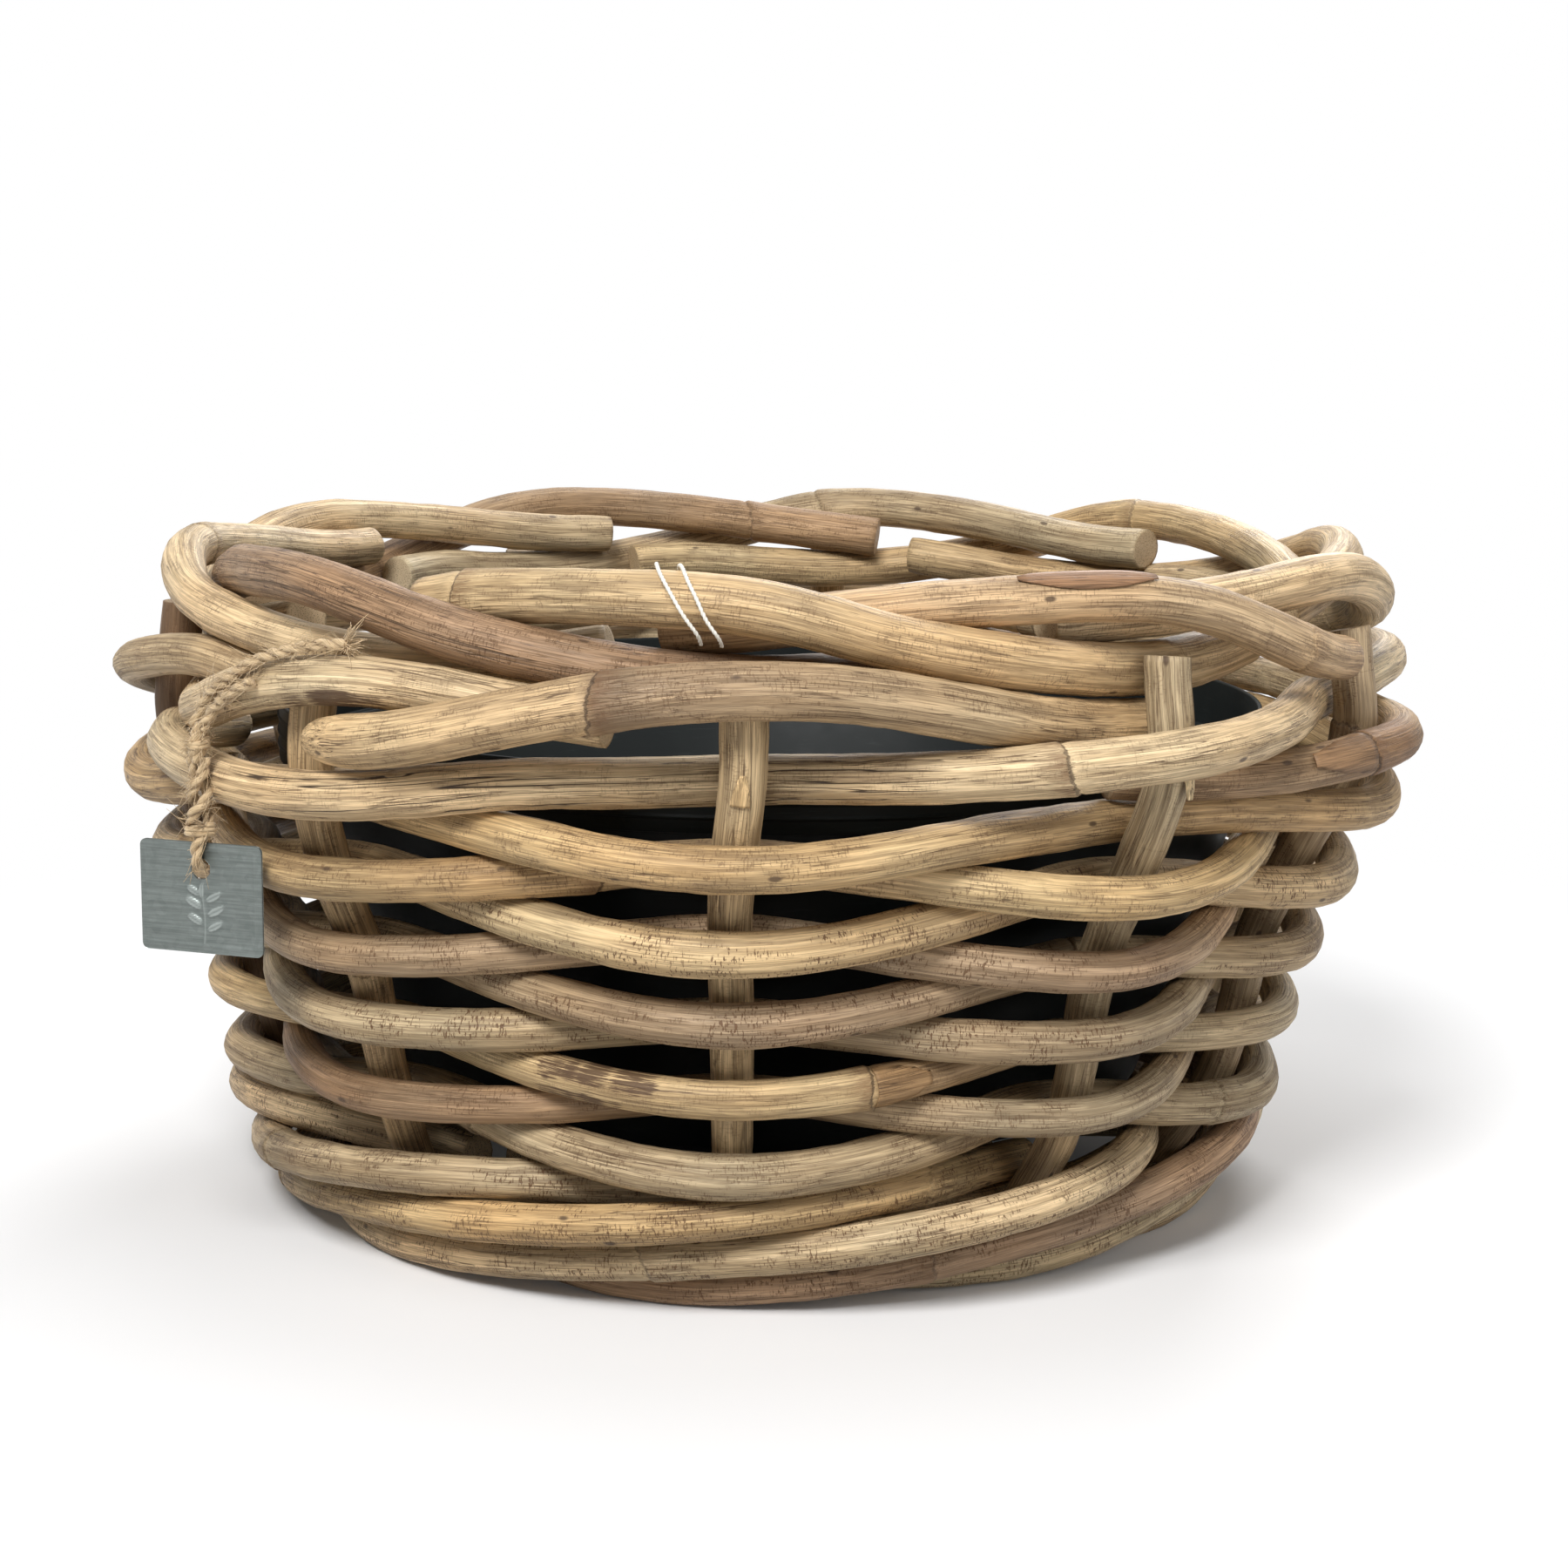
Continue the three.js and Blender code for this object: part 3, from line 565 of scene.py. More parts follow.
    def add_surface(self, at, turn, radius):
        """Adds vertices at a radius from the line and their places in the texture, and gives the way out"""
        place, side, up = self.line.at(at)
        out = way_out(side, up, turn)
        self.vertices.append((place + out * radius[..., None]).reshape(-1, 3))
        self.texture.append(cane_texture(radius, turn, at + self.seed * texture_shift).reshape(-1, 3))
        return out

    def close_end(self, which):
        """Closes the first or the second end: rings that shrink to the middle of the cut face"""
        first = which * (self.S.size - cane_sides)
        outer = list(range(first, first + cane_sides))
        fresh = sum(len(v) for v in self.vertices)
        for share in cap_shares:
            cut = self.end_cut(which, self.turn, share)
            at = self.line.length - cut if which else cut
            at = at + (self.rng.random(cane_sides) - 0.5) * cut_roughness
            self.add_surface(at, self.turn, self.radius[-which] * share)
            inner = list(range(fresh, fresh + cane_sides))
            self.span(outer, inner, which)
            outer = inner
            fresh += cane_sides
        for layers in (self.vertices, self.texture):
            layers.append(layers[-1].mean(axis=0)[None])
        self.span(outer, [fresh] * cane_sides, which)

    def span(self, outer, inner, which):
        """Faces of an end between two rings, or between a ring and the middle"""
        for j in range(cane_sides):
            k = (j + 1) % cane_sides
            face = tuple(dict.fromkeys((outer[j], outer[k], inner[k], inner[j])))
            self.faces.append(face if which else face[::-1])

    def stretch(self, a, b, height, soft):
        """1 from one angle round the basket to another, fading to 0 inside either end"""
        start, end = sorted((self.line.station(a, height), self.line.station(b, height)))
        return np.clip((self.S - start) / soft, 0, 1) * np.clip((end - self.S) / soft, 0, 1)

    def stained(self, stains, out_z):
        """Dark stains, named as (from, to, height, 1 for the top to -1 for the underside)"""
        dark = np.zeros_like(self.S)
        for a, b, height, facing in stains:
            part = 0.60 + 0.14 * waves(self.S, self.seed + 5, 50 * MM)
            part = part * np.clip(0.7 + 0.9 * out_z * facing, 0, 1)
            dark = np.maximum(dark, self.stretch(a, b, height, 12 * MM) * part)
        return dark

    def habits(self, habit, cracks):
        """How many ticks, streaks and cracks there are, with the cracks named as (from, to, height)"""
        values = np.ones(self.S.shape + (3,)) * habit
        for a, b, height in cracks:
            values[..., 2] = np.maximum(values[..., 2], self.stretch(a, b, height, 10 * MM))
        return values

    def colors(self, color, stops):
        """The cane's own colour, or colours that run from stop to stop, with slow changes of tone"""
        tint = np.ones(self.S.shape + (3,)) * linear(color)
        if stops:
            known = sorted((self.line.spot(where), linear(c)) for where, c in stops)
            where = [s for s, _ in known]
            tint = np.stack([np.interp(self.S, where, [c[i] for _, c in known]) for i in range(3)], -1)
        tone = 1 + 0.10 * waves(self.S, self.seed + 3, 210 * MM)
        warm = 0.05 * waves(self.S, self.seed + 4, 330 * MM)
        return tint * tone[..., None] * np.stack([1 + warm, np.ones_like(warm), 1 - warm], -1)


# The canes. Angles are in degrees from the front, positive to the right; heights in millimetres

def cane_row(kind, slot, colors, special, **common):
    """Numbered canes of one kind, with what is special about some of them"""
    for k, color in enumerate(colors, 1):
        Cane(f"{kind}_{k:02d}", slot, color, **{**common, **special.get(k, {})})


stake_colors = [honey, greyish, grey_brown, straw, greyish, honey, straw, grey_brown, dark_brown, honey]
special_stakes = {1: dict(habit=(0.3, 0.9, 0.5), rings=(-2.5,)), 2: dict(habit=(0.3, 0.8, 0.3)),
                  10: dict(habit=(0.4, 0.7, 0.2))}
cane_row("stake", "stake_cane", stake_colors, special_stakes, step=2.5 * MM)

weaver_colors = [greyish, grey_brown, straw, greyish, grey_brown, pinkish, straw, honey, honey, straw, honey,
                 greyish]
special_weavers = {
    1: dict(habit=(0.6, 0.9, 0.0)),
    2: dict(rings=(-120, 95, 170), habit=(0.7, 0.7, 0.0),
            stops=((-50, (152, 122, 92)), (-25, (164, 134, 102)), (10, grey_brown), (60, greyish))),
    3: dict(rings=(9, 130, -130), habit=(0.3, 0.5, 0.15),
            stops=((-30, (206, 180, 136)), (8.2, (206, 178, 134)), (9.8, (158, 128, 92)), (30, greyish),
                   (90, straw)),
            stains=((-28, -3, None, 1.0), (-26, -10, None, -0.6))),
    4: dict(rings=(120, -100), habit=(1.0, 0.5, 0.0),
            stops=((-50, greyish), (-20, (176, 158, 126)), (20, grey_brown), (60, greyish))),
    5: dict(rings=(150, -80), habit=(1.0, 0.7, 0.0),
            stops=((-40, greyish), (-12, (164, 140, 110)), (4, (180, 154, 124)), (30, grey_brown))),
    6: dict(rings=(110, -150), habit=(0.9, 0.5, 0.0),
            stops=((-50, (166, 142, 112)), (0, pinkish), (34, (178, 150, 120)), (70, honey))),
    7: dict(rings=(160, -70), habit=(1.0, 0.3, 0.0),
            stops=((-30, (197, 170, 128)), (0, (209, 181, 137)), (30, honey))),
    8: dict(rings=(-15, 80, 200), habit=(0.6, 0.7, 0.0),
            stops=((-45, (190, 160, 116)), (-16, (182, 150, 106)), (-14, (186, 160, 122)), (8, honey),
                   (20, (214, 185, 138)), (40, (206, 176, 128)))),
    9: dict(rings=(100, -120), habit=(0.5, 1.0, 0.0),
            stops=((-30, (206, 177, 130)), (10, (202, 170, 124)), (40, (194, 164, 120)))),
    10: dict(rings=((25, 190), (150, 195), (-70, 185)), habit=(0.3, 1.0, 0.0), cracks=((-45, 20, 180),),
             stains=((-50, -26, 217, -0.9),)),
    11: dict(rings=(57, 160, -90), habit=(0.5, 0.8, 0.2),
             stops=((50, (160, 132, 100)), (62, (142, 110, 78)), (80, straw), (140, straw), (-120, greyish),
                    (-60, greyish))),
    12: dict(rings=(-12.9,), habit=(0.5, 1.0, 0.0), ends=("tip", "flat"),
             stops=((-40, (212, 182, 138)), (-13.8, (204, 172, 130)), (-12.3, (140, 115, 88)),
                    (-7, (160, 138, 110)), (10, (184, 160, 126)), (34, (200, 172, 130)))),
}
cane_row("weaver", "side_cane", weaver_colors, special_weavers)

border_colors = [(198, 168, 130), straw, (200, 172, 130), (206, 178, 134), greyish, (172, 142, 108), straw,
                 straw, (156, 127, 98), (204, 176, 134)]
special_border = {9: dict(habit=(0.8, 1.0, 0.6), stains=((-90, 0, None, 0.05),)),
                  10: dict(habit=(0.5, 0.6, 0.1), rings=((-25, 237),))}
cane_row("border_cane", "border_cane", border_colors, special_border, habit=(0.45, 0.6, 0.0))


sheath_rows, sheath_columns, sheath_thickness = 12, 6, 0.35


def peel(name, node, where, facing, length, width, lift, color, lens=False):
    """A strip of old sheath on a cane: from a place on, on the side that faces a way, width in radians

    It is torn to a point at its far end, or at both if it is a lens. A negative length runs the other way"""
    line = Cane.made[node].line
    start = line.spot(where)
    rng = np.random.default_rng(int(start * 1e5))
    verts, texture, faces = [], [], []
    for thick in (0.0, sheath_thickness):
        for i in range(sheath_rows + 1):
            t = i / sheath_rows
            s = start + t * length
            place, side, up = line.at(s)
            middle = math.atan2(up @ facing, side @ facing)
            r = np.interp(start, line.s, line.radius) * 1.03 + (0.2 + lift * t**2 + thick) * MM
            share = 1 - 0.75 * t**1.5 + 0.12 * (rng.random() - 0.5)
            if lens:
                share = math.sin(math.pi * (0.04 + 0.92 * t)) ** 0.8 + 0.08 * (rng.random() - 0.5)
            for j in range(sheath_columns + 1):
                a = middle + (j / sheath_columns - 0.5) * width * share
                verts.append(place + way_out(side, up, a) * r)
                texture.append(cane_texture(r, a, s))
    grid = np.arange(len(verts) // 2).reshape(sheath_rows + 1, sheath_columns + 1).tolist()
    layer = len(verts) // 2
    for low, high in zip(grid, grid[1:]):
        for j in range(sheath_columns):
            quad = (low[j], low[j + 1], high[j + 1], high[j])
            faces += [quad[::-1], tuple(v + layer for v in quad)]
    rim = grid[0][:-1] + [row[-1] for row in grid[:-1]] + grid[-1][:0:-1] + [row[0] for row in grid[:0:-1]]
    for a, b in zip(rim, rim[1:] + rim[:1]):
        faces.append((a, b, b + layer, a + layer))
    obj = add_object(name, verts, faces, "basket", rattan, slot="side_cane")
    count = (len(verts), 1)
    set_attributes(obj, cane=texture, mark=np.tile((no_ring, 0, 0), count), ring=np.zeros(count),
                   habit=np.tile((0.2, 1.0, 0), count), tint=opaque(np.tile(linear(color), count)))


front, right_front, right_up, upward = (0, -1.0, 0.1), (0.7, -0.7, 0), (0.7, -0.7, 0.5), (0.1, -0.5, 1.0)
peel("torn_sheath_1", "weaver_11", 56, right_up, -30 * MM, 2.1, 0.5, (134, 104, 74))
peel("torn_sheath_2", "weaver_03", 9.2, front, -20 * MM, 2.4, 0.25, (160, 128, 90))
peel("torn_sheath_3", "stake_02", (36, 196), right_front, -12 * MM, 0.9, 2.2, (224, 200, 156))
peel("torn_sheath_4", "stake_01", (-1, 186), front, 9 * MM, 0.8, 1.0, (208, 178, 132))
peel("torn_sheath_5", "border_cane_01", 20, upward, 46 * MM, 1.3, 0.1, (158, 120, 88), lens=True)

foot_colors = [pale, straw, greyish, honey, grey_brown, straw, greyish, (200, 170, 124), straw, (172, 142, 112)]
cane_row("foot_cane", "foot_cane", foot_colors, {}, habit=(0.95, 0.9, 0.1), floor=True)

Cane("base_hoop", "base_cane", honey)
for k in range(1, 8):
    Cane(f"base_stick_{k}", "base_cane", honey if k % 2 else greyish)


# Liner: thin moulded pot with a turned-out band at the rim. Lengths in millimetres
liner_shift = -2.0
liner_segments = 160
liner_bottom = 39.2
liner_wall = 2.0
foot_radius = 147.5
foot_height = 5
foot_inset = 6
band_radius = 191.8
band_height = 22.0
rim_height = 188.0
side_radius = band_radius - 3.0
band_foot = rim_height - band_height
bend_steps = 3


def lathe(profile, segments):
    """Vertices and faces of a body turned from a closed profile of (radius, height)"""
    verts, faces = [], []
    n = len(profile)
    for i in range(segments):
        a = 2 * math.pi * i / segments
        for r, z in profile:
            verts.append(((r * math.sin(a) + liner_shift) * MM, -r * math.cos(a) * MM, z * MM))
    for i in range(segments):
        j = (i + 1) % segments
        for k in range(n):
            m = (k + 1) % n
            faces.append((i * n + k, j * n + k, j * n + m, i * n + m))
    return verts, faces


def liner_material():
    """Black plastic, scuffed and a little dusty"""
    m = Shader("liner_plastic")
    place = m.place()
    dust = m.noise(place, (14, 14, 14), 5.0, 0.6)
    scuff = m.noise(place, (60, 60, 700), 3.0, 0.6)
    m.color = m.mix(m.between(dust, 0.45, 0.75, 0.0, 0.5), (0.007, 0.009, 0.009), (0.016, 0.020, 0.019))
    m.paint(m.between(scuff, 0.58, 0.8, 0.0, 0.4), (0.03, 0.036, 0.035))
    return m.finished(rough=m.between(dust, 0.3, 0.7, 0.40, 0.56), specular=0.14,
                      normal=m.bump(m.noise(place, (900, 900, 900)), 0.25, 0.0001))


def rounded(profile):
    """Points of a profile of (radius, height, bend), whose corners are rounded where the bend isn't 0"""
    out = []
    n = len(profile)
    for i, (*corner, bend) in enumerate(profile):
        if bend == 0:
            out.append(tuple(corner))
            continue
        a, b, c = (np.array(p[:2], float) for p in (profile[i - 1], profile[i], profile[(i + 1) % n]))
        start = b + (a - b) / np.linalg.norm(a - b) * bend
        end = b + (c - b) / np.linalg.norm(c - b) * bend
        for k in range(bend_steps + 1):
            t = k / bend_steps
            out.append(tuple((1 - t) ** 2 * start + 2 * t * (1 - t) * b + t**2 * end))
    return out


# From the middle of the underside, up the outside to the rim, and back down the inside
liner_profile = [
    (0.01, liner_bottom, 0),
    (foot_radius - foot_inset, liner_bottom, 2.5),
    (foot_radius, liner_bottom + foot_height, 2.5),
    (side_radius, band_foot, 0.4),
    (band_radius - 0.4, band_foot, 0.7),
]
for z in (band_foot + 5.5, band_foot + 10.5, rim_height - 5.5):
    for stand_out, height in ((-0.5, -0.8), (0.1, -0.3), (0.1, 0.3), (-0.5, 0.8)):
        liner_profile.append((band_radius + stand_out, z + height, 0.2))
liner_floor = liner_bottom + liner_wall
liner_profile += [
    (band_radius - 0.4, rim_height, 0.8),
    (band_radius - liner_wall - 0.2, rim_height, 0.8),
    (band_radius - liner_wall, band_foot + liner_wall, 0.6),
    (side_radius - liner_wall, band_foot + liner_wall, 0.8),
    (foot_radius - liner_wall, liner_bottom + foot_height + liner_wall / 2, 3.0),
    (foot_radius - foot_inset, liner_floor, 3.0),
    (120, liner_floor, 0.3),
    (119, liner_floor + 0.6, 0.3),
    (115, liner_floor + 0.6, 0.3),
    (114, liner_floor, 0.3),
    (0.01, liner_floor, 0),
]
add_object("liner_pot", *lathe(rounded(liner_profile), liner_segments), "liner", liner_material(),
           replaces=("liner",), slot="liner_plastic")


# Twine: two plies twisted round one another, with loose hairs

def twine_material():
    m = Shader("jute_twine")
    texture = m.attribute("cane")
    fibre = m.noise(texture, (3000, 3000, 260), 3.0, 0.65)
    tone = m.noise(texture, (500, 500, 60))
    m.color = m.mix(m.between(fibre, 0.3, 0.7), (0.38, 0.255, 0.135), (0.74, 0.57, 0.35))
    m.paint(m.between(tone, 0.35, 0.65, 0.0, 0.4), (0.66, 0.50, 0.31))
    # Painted shade in the crevice where the two plies meet
    m.paint(m.times(m.attribute("groove", "Fac"), 0.72), (0.16, 0.095, 0.045))
    return m.finished(rough=0.9, specular=0.2, sheen=0.25, normal=m.bump(fibre, 0.7, 0.0004))


def thread_material():
    m = Shader("cotton_thread")
    fibre = m.noise(m.attribute("cane"), (5000, 5000, 900), 2.0, 0.6)
    m.color = m.mix(m.between(fibre, 0.3, 0.7), (0.62, 0.60, 0.52), (0.90, 0.88, 0.82))
    return m.finished(rough=0.85, specular=0.25, sheen=0.2)


jute = twine_material()
cotton = thread_material()


class Strand:
    """Mesh data of tubes that are joined into one piece"""

    def __init__(self):
        self.verts, self.texture, self.faces = [], [], []
        self.count = 0

    def tube(self, places, radii, sides, shift=0.0):
        """Adds a tube along places, with its texture shifted along it"""
        places = np.asarray(places, float)
        n = len(places)
        along = np.gradient(places, axis=0)
        along /= np.maximum(np.linalg.norm(along, axis=1), 1e-12)[:, None]
        side = np.cross(along[0], (0.3, 0.2, 0.93))
        side /= np.linalg.norm(side)
        turn = even_turns(sides)
        for place, t, r, run in zip(places, along, radii, run_along(places)):
            side = side - t * (side @ t)
            side /= np.linalg.norm(side)
            self.verts.append(place + r * way_out(side, np.cross(t, side), turn))
            self.texture.append(cane_texture(r, turn, run + shift))
        self.faces += tube_faces(n, sides, self.count) + cap_faces(n, sides, self.count)
        self.count += n * sides

    def hair(self, start, way, bend, radii, sides, shift):
        """Adds a loose fibre: a way it goes from its start, and how far its end is bent aside"""
        t = np.linspace(0, 1, len(radii))[:, None]
        self.tube(start + way * t + bend * t * t, radii, sides, shift)

    def make(self, name, body, replaces=()):
        obj = add_object(name, np.concatenate(self.verts), self.faces, body, jute, replaces, "jute_twine")
        set_attributes(obj, cane=np.concatenate(self.texture))
        return obj


def smooth_route(route):
    """Line through a cord's points"""
    return Line(route, np.ones(len(route)), 0.5 * MM)


def rope(name, node, line, diameter, body, material, slot, seed, pitch, sides, ridge):
    """One skin around two plies twisted round each other, with fine ridges where their fibres lie"""
    off, ply, frayed_end = 0.17 * diameter, 0.32 * diameter, 0.8
    twist = 2 * math.pi * line.s / pitch + 0.5 * waves(line.s, seed, 30 * MM)
    S, T = np.meshgrid(line.s, even_turns(sides), indexing="ij")
    psi = T - twist[:, None]
    radius = off * np.abs(np.cos(psi)) + np.sqrt(ply**2 - (off * np.sin(psi)) ** 2)
    radius *= 1 + ridge * np.sin(11 * psi + 5 * twist[:, None]) + 0.05 * waves(S + 0.002 * T, seed + 1, 18 * MM)
    radius[[0, -1]] *= frayed_end
    out = way_out(line.side[:, None, :], line.up[:, None, :], T)
    verts = line.place[:, None, :] + out * radius[..., None]
    faces = tube_faces(*S.shape) + cap_faces(*S.shape)
    obj = add_object(name, verts.reshape(-1, 3), faces, body, material, (node,), slot)
    # groove is 1 in the crevice between the plies, where the twine's material paints shade
    set_attributes(obj, cane=cane_texture(radius, psi, S + 0.37 * seed), groove=swelling(np.cos(psi), 0.3))
    return obj


hair_shift = 0.01
hair_radii = np.linspace(0.15, 0.07, 6) * MM
tuft_radii = np.linspace(0.24, 0.1, 6) * MM
knot_hair_radii = np.linspace(0.15, 0.07, 5) * MM
wrap_hair_radii = np.linspace(0.16, 0.05, 4) * MM


def hairs(name, line, diameter, body, seed, count, tuft):
    """Loose fibres that stand out of a twine, and those of the tuft at its start"""
    rng = np.random.default_rng(seed)
    strand = Strand()
    for k in range(count):
        at = rng.random() * line.length
        place, side, up = line.at(at)
        out = way_out(side, up, random_turn * rng.random())
        along = np.array([np.interp(at, line.s, line.along[:, i]) for i in range(3)])
        along *= 1 if rng.random() < 0.7 else -1
        reach = (2.5 + 7.0 * rng.random() ** 2) * MM
        bend = (rng.random(3) - 0.5) * 6.0 * MM
        start = place + out * diameter * 0.36
        strand.hair(start, (along + out * 0.4) * reach, bend, hair_radii, 3, k * hair_shift)
    for k in range(tuft):
        spread = line.side[0] * rng.normal() + line.up[0] * rng.normal()
        reach = (2 + 3 * rng.random()) * MM
        start = line.place[0] + spread * 0.7 * MM + line.along[0] * MM
        bend = (rng.random(3) - 0.5) * 6 * MM
        strand.hair(start, (0.7 * spread - line.along[0]) * reach, bend, tuft_radii, 4, k * hair_shift)
    return strand.make(name, body)


twine_diameter = 4.2 * MM


def twine(name, route, seed, hair_count, body="basket", tuft=0):
    line = smooth_route(route)
    piece = rope(name + "_twisted", name, line, twine_diameter, body, jute, "jute_twine", seed,
                 pitch=12 * MM, sides=28, ridge=0.03)
    return piece, line, hairs(name + "_hairs", line, twine_diameter, body, seed, hair_count, tuft)


# Where the twine runs, as (angle, radius, height), and where the knot and the tag are
twine_long_route = [(-34.6, 243, 228.8), (-37, 247.6, 228.2), (-39.5, 252, 225.6), (-42, 254.9, 221.6),
                    (-44, 256.3, 216.9), (-46, 256.6, 212.2), (-47.6, 256.6, 207.1), (-48.3, 257.4, 202.4),
                    (-48.4, 259.3, 197.6)]
twine_short_route = [(-41.4, 257.5, 215.4), (-43, 257.9, 212.6), (-44.5, 257.9, 209), (-46, 257.6, 205.2),
                     (-46.7, 258.2, 201.4), (-47.2, 259.7, 197.2)]
knot = polar(-47.8, 259.5, 192.5)
tag_yaw = math.radians(-18.6)
tag_along = np.array([math.cos(tag_yaw), math.sin(tag_yaw), 0])
tag_out = np.array([math.sin(tag_yaw), -math.cos(tag_yaw), 0])

# The tag, in millimetres
tag_top = 158.8
tag_width = 46
tag_height = 38
tag_thickness = 1.0
tag_corner = 2.5
hole_drop = 9
hole_radius = 3.5

long_points = [polar(*p) for p in twine_long_route]
short_points = [polar(*p) for p in twine_short_route]
twine_long, long_line, long_hairs = twine("twine_long", long_points, 11, 260, tuft=70)
twine_short, short_line, short_hairs = twine("twine_short", short_points, 12, 140)


def tag_place(x, y, out):
    """Place on the tag: x along its width, y down from its top edge, out of its front face, in millimetres"""
    base = np.array([knot[0], knot[1], (tag_top - y) * MM])
    return base + tag_along * x * MM + tag_out * out * MM


def loop_places():
    """The loop below the knot: two strands that pass before and behind the tag and meet in its hole

    It starts at top and turns back at turn, both measured down from the tag's top edge"""
    slack, start_spread, steps = 0.35, 2.4, 16
    r = twine_diameter / 2 / MM
    bend = r + tag_thickness / 2 + 0.5
    top = tag_top - (knot[2] / MM - 4.4 - slack)
    turn = hole_drop - hole_radius + r + slack - bend

    def strand(side, k):
        t = k / steps
        share = min(1.0, t / 0.95)
        twist = math.radians(450) * share * share * (3 - 2 * share)
        spread = side * (start_spread + (bend - start_spread) * t)
        return tag_place(spread * math.cos(twist), top + (turn - top) * t, spread * math.sin(twist))

    places = [strand(1, k) for k in range(steps + 1)]
    for k in range(1, steps):
        a = math.pi * k / steps
        places.append(tag_place(0, turn + bend * math.sin(a), bend * math.cos(a)))
    places += [strand(-1, k) for k in range(steps, -1, -1)]
    return places


loop_points = loop_places()
twine_loop, loop_line, loop_hairs = twine("twine_loop", loop_points, 13, 280, body="tag")


def wind_wrap():
    """A short end of twine wound round the loop just above the tag, with both its ends frayed"""
    turns, steps, fibres = 2.3, 70, 14
    wrap = Strand()
    rng = np.random.default_rng(9)
    path = []
    for t in np.linspace(0, 1, steps):
        a = 2 * math.pi * turns * t - 1.2
        rise = 3.4 * (t - 0.5) + 0.5 * math.sin(a + 1)
        path.append(tag_place(4.6 * math.cos(a), -4.2 - rise, 3.9 * math.sin(a)))
    wrap.tube(path, np.full(steps, 0.95 * MM), 9)
    for end, out in ((path[0], path[0] - path[3]), (path[-1], path[-1] - path[-4])):
        for k in range(fibres):
            lean = out / np.linalg.norm(out) + (rng.random(3) - 0.5) * 0.9
            points = [end + lean * (5 + 3 * rng.random()) * t * MM for t in (0, 0.4, 0.75, 1)]
            wrap.tube(points, wrap_hair_radii, 4, k * hair_shift)
    return wrap.make("twine_wrap", "tag")


def tie_knot():
    """The strands run together in a thick twisted bundle, with two turns wound over it and loose hairs"""
    plies, rows, half_height, fibres = 3, 40, 6.5, 110
    strand = Strand()
    rng = np.random.default_rng(5)
    heights = np.linspace(-half_height, half_height, rows)
    bundle = np.array([knot + np.array((0.7 * math.sin(z / 3.5), 0, z)) * MM for z in heights])
    away = 1.55 * np.sin(np.linspace(0.25, math.pi - 0.25, rows)) * MM
    thickness = (1.25 + 0.75 * np.sin(np.linspace(0.1, math.pi - 0.1, rows))) * MM
    for k in range(plies):
        turn = 2 * math.pi * (np.linspace(0, 1.1, rows) + k / plies)
        path = bundle + np.stack([np.cos(turn) * away, np.sin(turn) * away, 0 * turn], -1)
        strand.tube(path, thickness, 10, 0.1 * k)
    winding = []
    for t in np.linspace(0, 1, 60):
        a = 2 * math.pi * 2.1 * t
        place = np.array((3.2 * math.cos(a), 3.2 * math.sin(a), 2.6 * (t - 0.5) + 0.9 * math.sin(a)))
        winding.append(knot + place * MM)
    strand.tube(winding, np.full(60, 0.95 * MM), 9)
    for k in range(fibres):
        out = rng.normal(size=3)
        out /= np.linalg.norm(out)
        bend = (rng.random(3) - 0.5) * 3 * MM
        strand.hair(knot + out * 2.6 * MM, out * 4.4 * MM, bend, knot_hair_radii, 3, k * hair_shift)
    return strand.make("twine_knot_tied", "basket", ("twine_knot",))


twine_wrap = wind_wrap()
twine_knot = tie_knot()


# Thread: two thin plies around a border cane
thread_route = [(-4.2, 232.4, 233), (-4.4, 235.8, 236), (-5.2, 237, 241), (-6, 235.8, 247.5),
                (-6.8, 232.5, 252.8), (-7.5, 226.1, 256.5), (-8.2, 217.3, 255.7), (-8.8, 212.1, 250.6),
                (-9.5, 211.4, 250.6), (-10.1, 216, 255.8), (-9.6, 225, 256.7), (-8.8, 231.5, 253.3),
                (-7.8, 235.3, 247.7), (-6.8, 236.6, 241.6), (-6, 235.4, 236.7), (-5.8, 232.4, 233.4)]
thread_diameter = 1.4 * MM
thread_points = [polar(*p) for p in thread_route]
thread_line = smooth_route(thread_points)
thread = rope("thread_twisted", "thread_tie", thread_line, thread_diameter, "basket", cotton, "cotton_thread",
              seed=21, pitch=3.4 * MM, sides=16, ridge=0.02)


# Tag: sheet metal with a raised edge line and a pressed sprig of leaves

def tag_material():
    m = Shader("tag_metal")
    place = m.place()
    spangle = m.split(m.cells(place, (420, 420, 420), "Color"))[0]
    brushed = m.noise(place, (60, 60, 1500), 3.0, 0.6)
    wear = m.noise(place, (220, 220, 220), 5.0, 0.65)
    m.color = m.mix(spangle, (0.160, 0.182, 0.172), (0.188, 0.211, 0.200))
    m.color = m.mix(1.0, m.color, m.between(brushed, 0.3, 0.7, 0.82, 1.14), "MULTIPLY")
    m.paint(m.between(wear, 0.52, 0.75, 0.0, 0.5), (0.13, 0.155, 0.145))
    # Painted highlight: the raised edge line and sprig are painted paler, standing in for light catching the
    # pressed relief
    m.paint(m.between(m.attribute("raised", "Fac"), 0.15, 0.6), (0.42, 0.46, 0.44))
    return m.finished(metal=0.6, rough=m.between(wear, 0.3, 0.7, 0.30, 0.42), specular=0.5,
                      normal=m.bump(m.noise(place, (900, 900, 900), 3.0), 0.12, 0.0002))


# Each leaf: where it leaves the stem, below the tag's top edge; its side; its size
leaves = ((31, 1, 6.0), (29, -1, 6.2), (26, 1, 6.6), (23.6, -1, 6.6), (21, 1, 6.0), (19, -1, 5.6),
          (16.4, 0, 5.0))
leaf_lean = math.radians(62)


def stem(y):
    """How far the sprig's stem lies from the middle of the tag"""
    return 1.5 * math.sin((y - 14) / 9)


